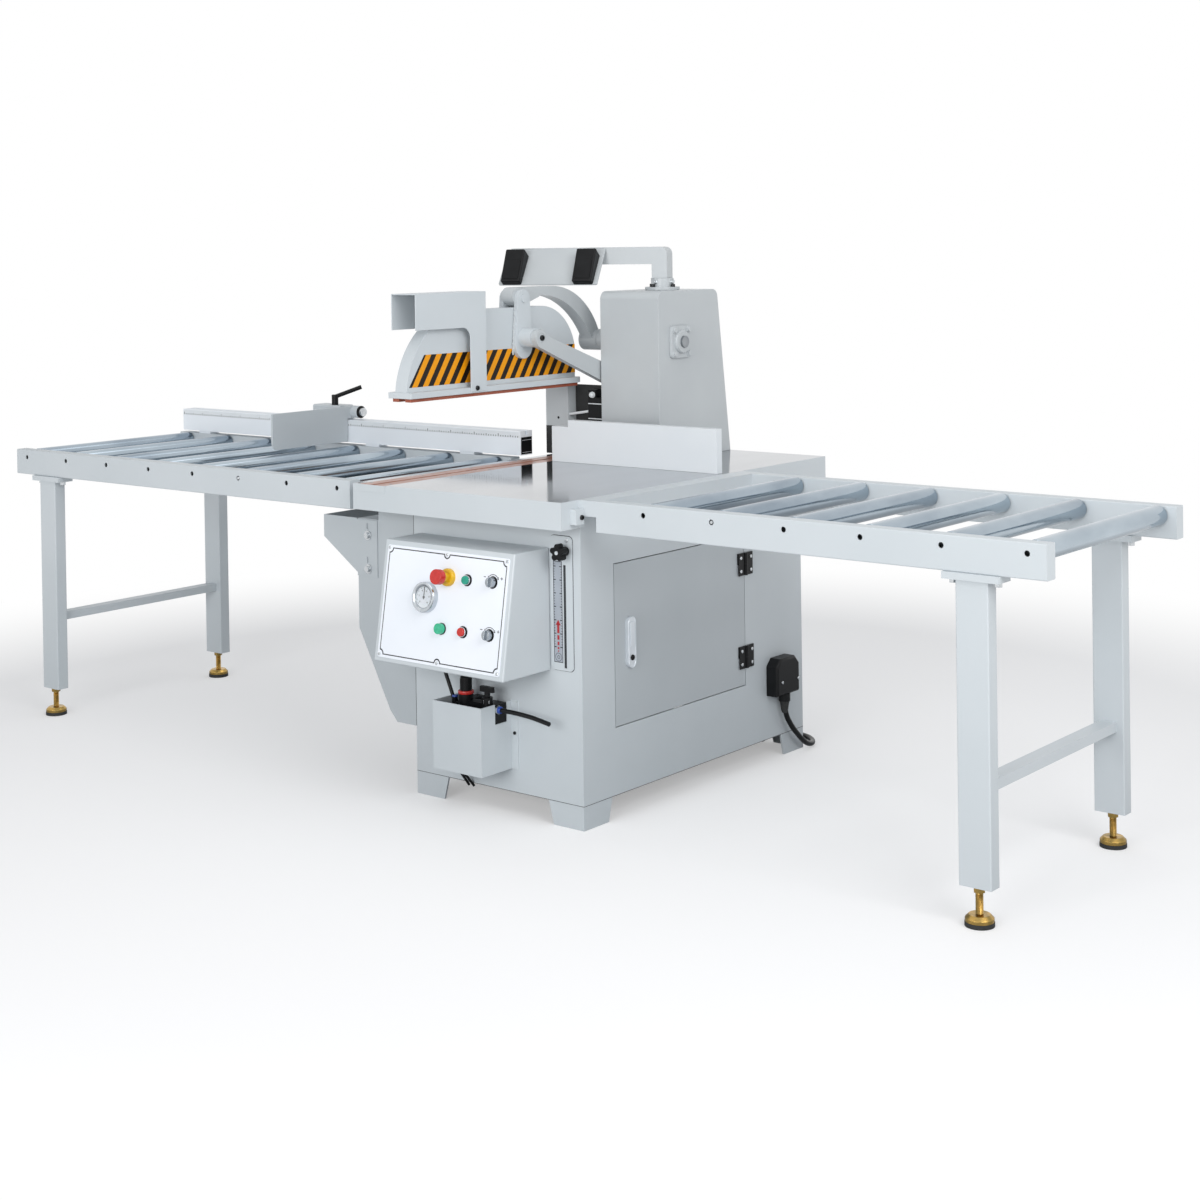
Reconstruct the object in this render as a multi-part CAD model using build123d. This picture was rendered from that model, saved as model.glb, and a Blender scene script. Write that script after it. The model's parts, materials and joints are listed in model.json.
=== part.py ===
"""Pneumatic cut-off saw: a machine table with a rising blade, a swinging clamp hood and two roller tables.

Frame: millimetres, +Z up from the floor, +X along the tables, the operator stands on the -Y side.
"""
from build123d import *
import math
import os

# Working height and the run of the three tables along X
TABLE_TOP = 860.0
LEFT_LENGTH = 1578.0
LEFT_GAP = 41.0
TABLE_OVER_CHAMBER = 139.0
RIGHT_GAP = 59.0
RIGHT_LENGTH = 1236.0

# Machine table
TABLE_FRONT = -565.0
TABLE_Y = 1245.0
TABLE_PLATE = 20.0
TABLE_SKIRT = 72.0
SKIRT_WALL = 12.0
BLADE_INSET = 77.0
INSERT_WIDTH = 97.0
INSERT_LENGTH = 865.0
BLADE_SLOT = 14.0
INSERT_LEDGE = 12.0
INSERT_LEDGE_WIDTH = 18.0

# Cabinet under the table
CAB_SIDE_INSET = 17.0
CAB_FRONT_INSET = 95.0
CAB_WIDTH = 596.0
CAB_DEPTH = 1033.0
CAB_CLEAR = 63.0
SHEET = 4.0
FOOT_WIDTH = 102.0
FOOT_TOP_WIDTH = 119.0
FOOT_SHEET = 6.0
BEAM = 40.0

# Cabinet door
DOOR_FRONT = 135.0
DOOR_WIDTH = 603.0
DOOR_BELOW = 177.0
DOOR_ABOVE = 115.0
DOOR_GAP = 2.5
HINGE_LENGTH = 64.0
HINGE_LEAF = 36.0
HINGE_PIN_R = 5.0
HINGE_PROUD = 0.5
PULL_Y = 65.0
PULL_WIDTH = 35.0
PULL_HEIGHT = 134.0
PULL_PROUD = 9.0

# Saw chamber and offcut chute at the cabinet's left side
CHAMBER_WIDTH = 223.0
CHAMBER_DEPTH = 760.0
CHAMBER_TOP_DROP = 115.0
CHAMBER_WALL_HEIGHT = 311.0
CHAMBER_SLANT_X = 119.0
CHAMBER_SLANT_Z = 219.0
CHAMBER_FLOOR_DROP = 30.0
CHAMBER_FLOOR_INSET = 27.0
CHUTE_WIDTH = 136.0
CHUTE_DEPTH = 600.0
CHUTE_WALL = 63.0
CHUTE_DROP = 154.0
CHUTE_FLANGE = 80.0
CHUTE_SHEET = 3.0
CHUTE_BOLT_DROP = 46.0
CHUTE_BOLT_PITCH = 95.0
CHUTE_HEAD_T = 7.0
WASHER_T = 3.0

# Roller tables
RAIL_HEIGHT = 80.0
RAIL_WIDTH = 40.0
TUBE_WALL = 3.0
LEFT_RAIL_FRONT = -538.0
LEFT_RAIL_BACK = 143.0
RIGHT_RAIL_FRONT = -497.5
RIGHT_RAIL_BACK = 200.0
LEFT_ROLLERS = 8
LEFT_PITCH = 210.0
LEFT_FIRST = 55.0
RIGHT_ROLLERS = 6
RIGHT_PITCH = 208.0
RIGHT_FIRST = 150.0
ROLLER_D = 50.0
ROLLER_WALL = 3.0
ROLLER_END = 12.0
ROLLER_END_GAP = 3.0
ROLLER_PROUD = 1.0
AXLE_D = 12.0
AXLE_HOLE_D = 14.0
LEG_X = 80.0
LEG_INSET_LEFT = 124.0
LEG_INSET_RIGHT = 140.0
LEG_BOTTOM = 87.0
LEG_PLATE_X = 140.0
LEG_PLATE_Y = 56.0
LEG_PLATE_T = 8.0
BOLT_D = 10.0
BOLT_HEAD = 17.0
BOLT_HEAD_T = 11.0
STRETCHER_X = 40.0
STRETCHER_Z = 25.0
LEFT_STRETCHER_HEIGHT = 307.0
RIGHT_STRETCHER_HEIGHT = 291.0
CROSS_TUBE = 25.0
BRACKET_X = 20.0
BRACKET_Y = 32.0
BRACKET_Z = 40.0
BRACKET_DROP = 20.0
FOOT_DISC_D = 65.0
FOOT_ROD_D = 16.0

# Fences and the flip stop
FENCE_BACK_OFF = 703.0
RIGHT_FENCE_T = 27.0
RIGHT_FENCE_H = 126.0
RIGHT_FENCE_START = 52.0
FENCE_NOTCH_X = 63.0
FENCE_NOTCH_Z = 20.0
LEFT_FENCE_T = 55.0
LEFT_FENCE_H = 74.0
LEFT_FENCE_LIFT = 9.0
LEFT_FENCE_INSET = 25.0
LEFT_FENCE_END = 44.0
LEFT_FENCE_WALL = 5.0
LEFT_FENCE_CHAMBER = 44.0
FENCE_PACKING_X = 60.0
GROOVE_W = 10.0
GROOVE_DEEP = 12.0
STOP_X = -1064.0
CARRIAGE_X = 128.0
CARRIAGE_H = 45.0
CARRIAGE_OVER = 4.0
CARRIAGE_ROUND = 6.0
STOP_PIN_D = 16.0
STOP_BARREL_D = 40.0
STOP_BARREL_X = 68.0
STOP_PLATE_T = 8.0
STOP_REACH = 331.0
STOP_PLATE_H = 115.0
STOP_PLATE_LIFT = 12.0
STOP_CORNER_R = 22.0
STOP_NUT_X = 14.0
LEVER_FROM_END = 37.5
LEVER_FROM_FACE = 12.0
LEVER_HUB_D = 22.0
LEVER_HUB_Z = 34.0
LEVER_D = 14.0
LEVER_REACH = 88.0
LEVER_RISE = 30.0
LEVER_HEADING = 52.0

# Column, arms and hood
COLUMN_OFF_BLADE = 111.0
COLUMN_X = 222.0
COLUMN_FROM_BACK = 375.0
COLUMN_FOOT_Y = 366.0
COLUMN_TOP_Y = 304.0
COLUMN_H = 507.0
COLUMN_ROUND = 25.0
COLUMN_WALL = 6.0
PIVOT_FROM_FRONT = 102.0
PIVOT_ABOVE_TABLE = 353.0
ARM_REACH = 370.0
ARM_RISE = 140.0
LINK_Y = 2.0
LINK_Z = 116.0
SHAFT_D = 35.0
RUNNING_GAP = 0.05
BEARING_D = 66.0
BEARING_X = 75.0
FLANGE_BEARING = 98.0
FLANGE_BEARING_T = 10.0
FLANGE_BEARING_NOSE = 10.0
FLANGE_BEARING_ROUND = 14.0
SHAFT_OVERHANG = 26.0
HUB_D = 66.0
HUB_X = 69.0
ARCH_OUTER_Y = 147.0
ARCH_OUTER_DROP = 73.0
ARCH_OUTER_R = 246.0
ARCH_INNER_Y = 88.0
ARCH_INNER_DROP = 139.0
ARCH_INNER_R = 287.0
NECK_Y = 81.0
NECK_RISE = 13.0
NECK_R = 12.0
SHOULDER_FRONT = 10.0
SHOULDER_Y = 150.0
SHOULDER_RISE = 8.0
SHOULDER_R = 25.0
EYE_D = 48.0
PIN_D = 25.0
PIN_HEAD = 4.0
LOWER_ARM_X = 22.0
LOWER_ARM_EYE_D = 50.0
LOWER_ARM_END = 43.0
LOWER_ARM_HEEL_D = 60.0
LOWER_ARM_DROP = 8.0
LOWER_HUB_D = 70.0
LOWER_HUB_X = 48.0
STUD_D = 30.0
STUD_CAP = 6.0
BOSS_D = 57.0
OPEN_PIVOT_GAP = 0.3
ARM_COLUMN_GAP = 5.0
HOOD_FRONT = -454.0
HOOD_LENGTH = 746.0
HOOD_WIDTH = 44.0
HOOD_SHEET = 3.0
HOOD_FLANGE_X = 90.0
HOOD_FLANGE_CORNER = 12.0
HOOD_FLANGE_Z = 17.0
HOOD_HEIGHT = 222.0
HOOD_INSET = 4.0
HOOD_FRONT_ARC = 220.0
HOOD_BACK_ARC = 168.0
HOOD_BACK_WALL = 100.0
LUG_T = 15.0
LUG_TOP_R = 27.0
LUG_FOOT_R = 37.0
LUG_FOOT_BACK = 1.0
LUG_FOOT_DROP = 26.0
PAD_X = 72.0
PAD_Z = 10.0
PAD_INSET = 9.0
PAD_SLOT = 24.0
PAD_LIFT = 218.0
PAD_STOP = 2.0
CHANNEL_SHEET = 3.0
CHANNEL_FRONT = 19.0
CHANNEL_Y = 291.0
CHANNEL_ABOVE_FLANGE = 275.0
CHANNEL_SIDE_Z = 102.0
CHANNEL_LEG_Y = 67.0
CHANNEL_CORNER_R = 32.0
CHANNEL_FOOT_LIFT = 4.0
GUARD_X = 90.0
GUARD_Y = 66.0
GUARD_Z = 212.0
GUARD_OVERHANG = 35.0
GUARD_SHEET = 3.0

# Press cylinder in the column
CRANK_R = 90.0
CRANK_T = 20.0
CRANK_PIN_D = 14.0
CRANK_EYE_R = 20.0
CYLINDER_D = 80.0
CYLINDER_SQUARE = 88.0
CYLINDER_FOOT_Z = 20.0
CYLINDER_HEAD_Z = 25.0
PRESS_BODY_Z = 190.0
PRESS_ROD_START = 85.0
ROD_D = 22.0
ROD_END_ROOM = 5.0
FORK_CHEEK = 8.0
FORK_ROOM = 10.0
FORK_HALF_Y = 17.0
SLOT_PLAY = 0.5

# Saw unit in the cabinet
BLADE_D = 455.0
BLADE_T = 4.4
BLADE_BORE = 30.0
BLADE_TEETH = 80
BLADE_BELOW_INSERT = 4.5
SAW_LIFT = 144.0
SAW_ARM = 420.0
SAW_PIVOT_FROM_BACK = 233.0
SAW_AXLE_D = 40.0
SAW_HUB_D = 90.0
SPINDLE_D = 40.0
SPINDLE_HOUSING_D = 110.0
SPINDLE_HOUSING_X = 150.0
BLADE_FLANGE_D = 120.0
BLADE_FLANGE_T = 12.8
SPINDLE_PULLEY_D = 110.0
MOTOR_PULLEY_D = 160.0
PULLEY_X = 50.0
BELT_T = 6.0
BELT_GAP = 0.5
MOTOR_D = 220.0
MOTOR_X = 280.0
MOTOR_SHAFT_D = 38.0
MOTOR_SHAFT_IN = 60.0
MOTOR_FINS = 20
MOTOR_FIN_T = 6.0
MOTOR_FIN_Z = 4.0
TERMINAL_X = 100.0
TERMINAL_Y = 60.0
TERMINAL_Z = 90.0
SHELF_Z = 10.0
SHELF_Y = 260.0
AXLE_PLATE_T = 12.0
ARM_BEAM_Z = 64.0
ARM_BEAM_INSET = 30.0
ARM_WALL_GAP = 12.0
PULLEY_GAP = 18.0
MOTOR_GAP = 30.0
SPINDLE_NUT_X = 20.0
BLADE_GULLET = 9.0
LIFT_FROM_PIVOT = 230.0
LIFT_FROM_SIDE = 95.0
LIFT_BODY_Z = 300.0
LIFT_ROD_START = 120.0

# Control arm on the column top
SWIVEL_OFF_X = 10.0
SWIVEL_OFF_Y = 5.0
SWIVEL_FLANGE_D = 107.0
SWIVEL_FLANGE_Z = 10.0
SWIVEL_COLLAR_D = 70.0
SWIVEL_COLLAR_Z = 37.0
SPIGOT_D = 50.0
SPIGOT_CLEAR = 2.0
POST_SIDE = 50.0
POST_Z = 43.0
POST_ROUND = 22.0
BOOM_Z = 53.0
BOOM_LENGTH = 498.0
GUSSET_T = 6.0
GUSSET_INSET = 60.0
BOOM_HEADING = 196.5
CONSOLE_START = 175.0
CONSOLE_LENGTH = 333.0
CONSOLE_H = 133.0
CONSOLE_T = 4.0
CONSOLE_TILT = 35.0
CONSOLE_DROP = 5.0
PALM_X = 65.0
PALM_H = 110.0
PALM_DROP = 11.5
PALM_MARGIN = 13.5
PALM_DEEP_TOP = 40.0
PALM_DEEP_FOOT = 20.0
PALM_PLATE_X = 52.0
PALM_PLATE_H = 64.0
PALM_PLATE_T = 8.0
PALM_PLATE_DROP = 14.0
PALM_ROUND = 5.0
PALM_PROUD = 1.0
PALM_TRAVEL = 4.0

# Control box, its panel and the scale plate
BOX_X0 = 28.0
BOX_X = 463.0
BOX_TOP_DROP = 64.0
BOX_Z = 320.0
BOX_TOP_Y = 135.0
BOX_BOTTOM_Y = 189.0
PANEL_MARGIN = 13.0
PANEL_T = 2.0
PANEL_ROUND = 6.0
BUTTON_D = 22.0
BUTTON_TRAVEL = 4.0
BEZEL_D = 26.0
KNOB_D = 26.0
KNOB_H = 16.0
KNOB_STUD_D = 10.0
KNOB_POINTER = 4.0
KNOB_POINTER_H = 6.0
BEZEL_H = 8.0
STOP_COLLAR_D = 46.0
STOP_COLLAR_H = 4.0
STOP_NECK_H = 26.0
STOP_HEAD_D = 40.0
STOP_HEAD_H = 22.0
STOP_TRAVEL = 5.0
GAUGE_D = 78.0
GAUGE_H = 16.0
GAUGE_WELL = 6.0
GAUGE_WALL = 4.0
NEEDLE_STAFF_D = 2.4
NEEDLE_HUB_D = 6.4
NEEDLE_W = 1.6
NEEDLE_T = 1.2
LAMP_D = 28.0
LAMP_H = 16.0
BUTTON_GAP = 0.4
SCALE_X = 74.0
SCALE_Z = 350.0
SCALE_SIDE = 26.0
SCALE_TOP_DROP = 30.0
SCALE_T = 3.0
SCALE_CORNER = 12.0
SCALE_SLOT_X = 8.0
SCALE_SLOT_FOOT = 7.0
SCALE_SLOT_HEAD = 75.0
STAR_D = 46.0
STAR_H = 20.0
STAR_NECK = 18.0
STAR_NECK_D = 24.0
STAR_LOBES = 5
STAR_FROM_SIDE = 46.0
STAR_DROP = 38.0

# Air unit on the cabinet's front
BIN_X = 173.0
BIN_Y = 122.0
BIN_Z = 181.0
BIN_RIGHT = 243.0
BIN_BELOW_BOX = 98.0
BIN_FLANGE = 23.0
BIN_SHEET = 3.0
BIN_NOTCH_FRONT = 67.0
BIN_NOTCH_BACK = 19.0
BIN_NOTCH_Z = 53.0
FILTER_D = 52.0
REGULATOR_D = 40.0
REGULATOR_KNOB_D = 31.0
REGULATOR_KNOB_Z = 46.0
REGULATOR_FROM_LEFT = 62.0
VALVE_FROM_LEFT = 138.0
AIR_LINE_Y = 58.0
AIR_BLOCK = 28.0
AIR_NECK_Z = 14.0
FITTING_DROP = 14.0
FITTING_OUT = 14.0
VALVE_D = 30.0
VALVE_STEM_D = 16.0
VALVE_BAR_X = 48.0
VALVE_BAR_Y = 14.0
FEED_TUBE_D = 10.0
FEED_TUBE_FROM_LEFT = 21.0
FEED_TUBE_LEAN = 24.0
FEED_FITTING_D = 16.0
DRAIN_D = 7.0
DRAIN_FROM_LEFT = 22.0
DRAIN_PITCH = 9.0
DRAIN_TAIL = 2.0
HOSE_D = 12.0

# Power socket at the cabinet's right side, its lead and the coil that holds the lead's rest
SOCKET_X = 40.0
SOCKET_Y = 118.0
SOCKET_Z = 108.0
SOCKET_BACK = 73.0
SOCKET_ABOVE_CAB = 126.0
SOCKET_ROUND = 6.0
SOCKET_SHOULDER = 22.0
GLAND_D = 34.0
GLAND_Z = 23.0
GLAND_FROM_BACK = 54.0
LEAD_D = 16.0
COIL_X = 284.0
COIL_BACK_Y = 652.0
COIL_R = 105.0
COIL_HALF_TURNS = 4
COIL_GAP = 1.0
TIE_Y = 15.0
TIE_T = 1.5
TIE_GAP = 2.0
CURVED_GAP = 0.3

# Lines that follow from the driving sizes
TABLE_X = TABLE_OVER_CHAMBER + CAB_WIDTH + CAB_SIDE_INSET
OVERALL = LEFT_LENGTH + LEFT_GAP + TABLE_X + RIGHT_GAP + RIGHT_LENGTH
LEFT_X0 = -OVERALL / 2
LEFT_X1 = LEFT_X0 + LEFT_LENGTH
TABLE_X0 = LEFT_X1 + LEFT_GAP
TABLE_X1 = TABLE_X0 + TABLE_X
RIGHT_X0 = TABLE_X1 + RIGHT_GAP
RIGHT_X1 = RIGHT_X0 + RIGHT_LENGTH
TABLE_BACK = TABLE_FRONT + TABLE_Y
TABLE_UNDER = TABLE_TOP - TABLE_SKIRT
BLADE_X = TABLE_X0 + BLADE_INSET
INSERT_X0 = BLADE_X - INSERT_WIDTH / 2
INSERT_X1 = BLADE_X + INSERT_WIDTH / 2
CAB_X1 = TABLE_X1 - CAB_SIDE_INSET
CAB_X0 = CAB_X1 - CAB_WIDTH
CAB_FRONT = TABLE_FRONT + CAB_FRONT_INSET
CAB_BACK = CAB_FRONT + CAB_DEPTH
FENCE_Y = TABLE_FRONT + FENCE_BACK_OFF
COLUMN_X0 = BLADE_X + COLUMN_OFF_BLADE
COLUMN_X1 = COLUMN_X0 + COLUMN_X
COLUMN_Y0 = TABLE_BACK - COLUMN_FROM_BACK
COLUMN_TOP = TABLE_TOP + COLUMN_H
PIVOT = (COLUMN_Y0 + PIVOT_FROM_FRONT, TABLE_TOP + PIVOT_ABOVE_TABLE)
EYE = (PIVOT[0] - ARM_REACH, PIVOT[1] + ARM_RISE)
LINK_EYE = (EYE[0] - LINK_Y, EYE[1] - LINK_Z)
LINK_PIVOT = (PIVOT[0] - LINK_Y, PIVOT[1] - LINK_Z)
ARM_LENGTH = math.hypot(ARM_REACH, ARM_RISE)
PAD_UNDER = TABLE_TOP + PAD_LIFT
FLANGE_UNDER = PAD_UNDER + PAD_Z
FLANGE_TOP = FLANGE_UNDER + HOOD_FLANGE_Z
HOOD_TOP = FLANGE_TOP + HOOD_HEIGHT
HOOD_DROP = PAD_LIFT - PAD_STOP
ARM_SWING = math.asin(ARM_RISE / ARM_LENGTH) - math.asin((ARM_RISE - HOOD_DROP) / ARM_LENGTH)
BLADE_R = BLADE_D / 2
SPINDLE_Z = TABLE_TOP - TABLE_PLATE - BLADE_BELOW_INSERT - BLADE_R
SAW_PIVOT = (CAB_BACK - SAW_PIVOT_FROM_BACK, SPINDLE_Z + SAW_LIFT / 2)
SAW_HALF_SWING = math.asin(SAW_LIFT / 2 / SAW_ARM)
SPINDLE = (SAW_PIVOT[0] - SAW_ARM * math.cos(SAW_HALF_SWING), SPINDLE_Z)
ROLLER_Z = TABLE_TOP + ROLLER_PROUD - ROLLER_D / 2
RAIL_UNDER = TABLE_TOP - RAIL_HEIGHT
LEG_TOP = RAIL_UNDER - 2 * LEG_PLATE_T
LEFT_LEG_X = LEFT_X0 + LEG_INSET_LEFT + LEG_X / 2
RIGHT_LEG_X = RIGHT_X1 - LEG_INSET_RIGHT - LEG_X / 2
BOX_TOP = TABLE_UNDER - BOX_TOP_DROP
BOX_UNDER = BOX_TOP - BOX_Z
PANEL_SLOPE = math.hypot(BOX_Z, BOX_BOTTOM_Y - BOX_TOP_Y)
PANEL_UP = Vector(0, (BOX_BOTTOM_Y - BOX_TOP_Y) / PANEL_SLOPE, BOX_Z / PANEL_SLOPE)
PANEL_OUT = Vector(0, -PANEL_UP.Z, PANEL_UP.Y)

# Places of the fittings on the panel: along X from the box's left side, then up the slope
PANEL_PLACES = {
    "emergency_stop": (245.0, 245.0),
    "start_button": (311.0, 244.0),
    "feed_knob": (399.0, 247.0),
    "gauge": (173.0, 186.0),
    "lamp": (237.0, 111.0),
    "stop_button": (313.0, 111.0),
    "return_knob": (404.0, 113.0),
}


def block(x0, x1, y0, y1, z0, z1):
    """A square-edged bar between two corners."""
    size = (x1 - x0, y1 - y0, z1 - z0)
    return Pos(x0, y0, z0) * Box(*size, align=(Align.MIN, Align.MIN, Align.MIN))


def rod_x(x0, x1, centre, radius):
    """A round bar along X, centred on (y, z)."""
    middle = ((x0 + x1) / 2, centre[0], centre[1])
    return Pos(*middle) * Rot(0, 90, 0) * Cylinder(radius, abs(x1 - x0))


def rod_y(x, y0, y1, z, radius):
    """A round bar along Y."""
    return Pos(x, (y0 + y1) / 2, z) * Rot(90, 0, 0) * Cylinder(radius, abs(y1 - y0))


def rod_z(x, y, z0, z1, radius):
    """A round bar standing on (x, y)."""
    return Pos(x, y, (z0 + z1) / 2) * Cylinder(radius, abs(z1 - z0))


def rod_between(start, end, radius):
    """A round bar from one point to another."""
    run = Vector(*end) - Vector(*start)
    return extrude(Plane(start, z_dir=run) * Circle(radius), run.length)


def side_plate(points, x0, x1):
    """A plate of the outline (y, z) between two X planes."""
    return extrude(Plane.YZ.offset(x0) * make_face(Polyline(*points, close=True)), x1 - x0)


def front_plate(points, y0, y1):
    """A plate of the outline (x, z) between two Y planes."""
    return extrude(Plane.XZ.offset(-y1) * make_face(Polyline(*points, close=True)), y1 - y0)


def strap(first, first_r, second, second_r):
    """The face round two circles in the (y, z) plane, with straight sides between them."""
    reach = math.dist(first, second)
    heading = math.atan2(second[1] - first[1], second[0] - first[0])
    lean = math.acos((first_r - second_r) / reach)

    def rim(centre, radius, angle):
        return (centre[0] + radius * math.cos(angle), centre[1] + radius * math.sin(angle))

    upper, lower = heading + lean, heading - lean
    edges = [
        Line(rim(first, first_r, upper), rim(second, second_r, upper)),
        ThreePointArc(
            rim(second, second_r, upper), rim(second, second_r, heading), rim(second, second_r, lower)
        ),
        Line(rim(second, second_r, lower), rim(first, first_r, lower)),
        ThreePointArc(
            rim(first, first_r, lower), rim(first, first_r, heading + math.pi), rim(first, first_r, upper)
        ),
    ]
    return make_face(edges)


def strap_x(first, first_r, second, second_r, x0, x1):
    """A link of the strap outline between two X planes."""
    return extrude(Plane.YZ.offset(x0) * strap(first, first_r, second, second_r), x1 - x0)


def hex_bar_z(x, y, z0, z1, across):
    """A hexagon bar along Z, by its width across the flats."""
    face = Plane.XY.offset(z0) * Pos(x, y) * RegularPolygon(across / 2, 6, major_radius=False)
    return extrude(face, z1 - z0)


def tube_x(x0, x1, y0, y1, z0, z1, wall):
    """A closed rectangular tube along X."""
    inside = block(x0 + wall, x1 - wall, y0 + wall, y1 - wall, z0 + wall, z1 - wall)
    outside = block(x0, x1, y0, y1, z0, z1)
    return fillet(outside.edges().filter_by(Axis.X), wall) - inside


def tube_z(x0, x1, y0, y1, z0, z1, wall):
    """A rectangular tube along Z with closed ends."""
    inside = block(x0 + wall, x1 - wall, y0 + wall, y1 - wall, z0 + 2 * wall, z1 - wall)
    outside = block(x0, x1, y0, y1, z0, z1)
    return fillet(outside.edges().filter_by(Axis.Z), wall) - inside


def roller(x, y0, y1):
    """A steel roller: a thin tube closed by two bored end plugs, on a fixed axle."""
    radius, bore = ROLLER_D / 2, AXLE_D / 2 + RUNNING_GAP
    hollow = rod_y(x, y0 + ROLLER_END, y1 - ROLLER_END, ROLLER_Z, radius - ROLLER_WALL)
    shell = chamfer(rod_y(x, y0, y1, ROLLER_Z, radius).edges().filter_by(GeomType.CIRCLE), 1)
    return [shell - hollow - rod_y(x, y0, y1, ROLLER_Z, bore)]


def roller_places(first, pitch, count):
    return [first + pitch * index for index in range(count)]


LEFT_PLACES = roller_places(LEFT_X0 + LEFT_FIRST, LEFT_PITCH, LEFT_ROLLERS)
RIGHT_PLACES = roller_places(RIGHT_X0 + RIGHT_FIRST, RIGHT_PITCH, RIGHT_ROLLERS)


def roller_frame(x0, x1, front, back, places, leg_x, stretcher_z):
    """Two rails on two plated legs, with a stretcher, cross tubes and the rollers' fixed axles."""
    inner_front, inner_back = front + RAIL_WIDTH, back
    pieces = []
    for y0 in (front, back):
        rail = tube_x(x0, x1, y0, y0 + RAIL_WIDTH, RAIL_UNDER, TABLE_TOP, TUBE_WALL)
        for x in places:
            outer_face = y0 if y0 == front else y0 + RAIL_WIDTH
            rail -= rod_y(x, outer_face - TUBE_WALL, outer_face + TUBE_WALL, ROLLER_Z, AXLE_HOLE_D / 2)
            inner_face = inner_front if y0 == front else inner_back
            rail -= rod_y(x, inner_face - TUBE_WALL, inner_face + TUBE_WALL, ROLLER_Z, AXLE_D / 2)
        pieces.append(rail)
        middle = y0 + RAIL_WIDTH / 2
        plate_x = (leg_x - LEG_PLATE_X / 2, leg_x + LEG_PLATE_X / 2)
        plate_y = (middle - LEG_PLATE_Y / 2, middle + LEG_PLATE_Y / 2)
        for z0 in (LEG_TOP, LEG_TOP + LEG_PLATE_T):
            flange = block(*plate_x, *plate_y, z0, z0 + LEG_PLATE_T)
            for x in bolt_places(leg_x):
                flange -= rod_z(x, middle, z0, z0 + LEG_PLATE_T, BOLT_D / 2)
            pieces.append(flange)
        leg = tube_z(
            leg_x - LEG_X / 2, leg_x + LEG_X / 2, y0, y0 + RAIL_WIDTH, LEG_BOTTOM, LEG_TOP, TUBE_WALL
        )
        pieces.append(leg - rod_z(leg_x, middle, LEG_BOTTOM, LEG_BOTTOM + 2 * TUBE_WALL, FOOT_ROD_D / 2))
    for x in places:
        pieces.append(rod_y(x, inner_front - TUBE_WALL, inner_back + TUBE_WALL, ROLLER_Z, AXLE_D / 2))
    gap = (inner_front, inner_back)
    half = STRETCHER_X / 2
    pieces.append(block(leg_x - half, leg_x + half, *gap, stretcher_z, stretcher_z + STRETCHER_Z))
    for pair in ((places[0] + places[1]) / 2, (places[-3] + places[-2]) / 2):
        half = CROSS_TUBE / 2
        pieces.append(block(pair - half, pair + half, *gap, RAIL_UNDER, RAIL_UNDER + CROSS_TUBE))
    return pieces


def bolt_places(leg_x):
    offset = (LEG_X + LEG_PLATE_X) / 4
    return (leg_x - offset, leg_x + offset)


def leg_places():
    half = RAIL_WIDTH / 2
    return [
        (LEFT_LEG_X, LEFT_RAIL_FRONT + half),
        (LEFT_LEG_X, LEFT_RAIL_BACK + half),
        (RIGHT_LEG_X, RIGHT_RAIL_FRONT + half),
        (RIGHT_LEG_X, RIGHT_RAIL_BACK + half),
    ]


JOIN_BAR_UNDER = TABLE_TOP - RAIL_WIDTH


def left_roller_frame():
    """The infeed frame, with the bar that joins it to the machine table."""
    pieces = roller_frame(
        LEFT_X0, LEFT_X1, LEFT_RAIL_FRONT, LEFT_RAIL_BACK, LEFT_PLACES, LEFT_LEG_X, LEFT_STRETCHER_HEIGHT
    )
    bar_y = (LEFT_RAIL_FRONT + RAIL_WIDTH / 2, LEFT_RAIL_BACK + RAIL_WIDTH / 2)
    pieces.append(block(LEFT_X1, TABLE_X0, *bar_y, JOIN_BAR_UNDER - RAIL_WIDTH / 2, JOIN_BAR_UNDER))
    return pieces


def right_roller_frame():
    """The outfeed frame, joined to the machine table by a cross bar and a corner bracket."""
    rails = (RIGHT_RAIL_FRONT, RIGHT_RAIL_BACK)
    pieces = roller_frame(
        RIGHT_X0, RIGHT_X1, *rails, RIGHT_PLACES, RIGHT_LEG_X, RIGHT_STRETCHER_HEIGHT
    )
    bar_y = (RIGHT_RAIL_FRONT, RIGHT_RAIL_BACK + RAIL_WIDTH)
    pieces.append(block(TABLE_X1, RIGHT_X0, *bar_y, JOIN_BAR_UNDER, TABLE_TOP))
    bracket_z = (TABLE_TOP - BRACKET_DROP - BRACKET_Z, TABLE_TOP - BRACKET_DROP)
    bracket_y = (RIGHT_RAIL_FRONT - BRACKET_Y, RIGHT_RAIL_FRONT)
    pieces.append(block(TABLE_X1, TABLE_X1 + BRACKET_X, *bracket_y, *bracket_z))
    return pieces


def levelling_feet():
    """Four screw feet: a rubber base, a flat disc, a threaded rod and a lock nut."""
    rubber, disc, nut = 10.0, 16.0, 13.0
    pieces = []
    for x, y in leg_places():
        pieces.append(rod_z(x, y, 0, rubber, FOOT_DISC_D / 2 + 1))
        cap = rod_z(x, y, rubber, rubber + disc, FOOT_DISC_D / 2)
        pieces.append(chamfer(cap.edges().filter_by(GeomType.CIRCLE).sort_by(Axis.Z)[-1], disc / 2))
        stem_top = LEG_BOTTOM + 2 * BOLT_HEAD
        pieces.append(rod_z(x, y, rubber + disc, stem_top, FOOT_ROD_D / 2))
        lock_nut = hex_bar_z(x, y, LEG_BOTTOM - nut, LEG_BOTTOM, FOOT_ROD_D * 1.5)
        pieces.append(lock_nut - rod_z(x, y, LEG_BOTTOM - nut, LEG_BOTTOM, FOOT_ROD_D / 2))
    return pieces


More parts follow.
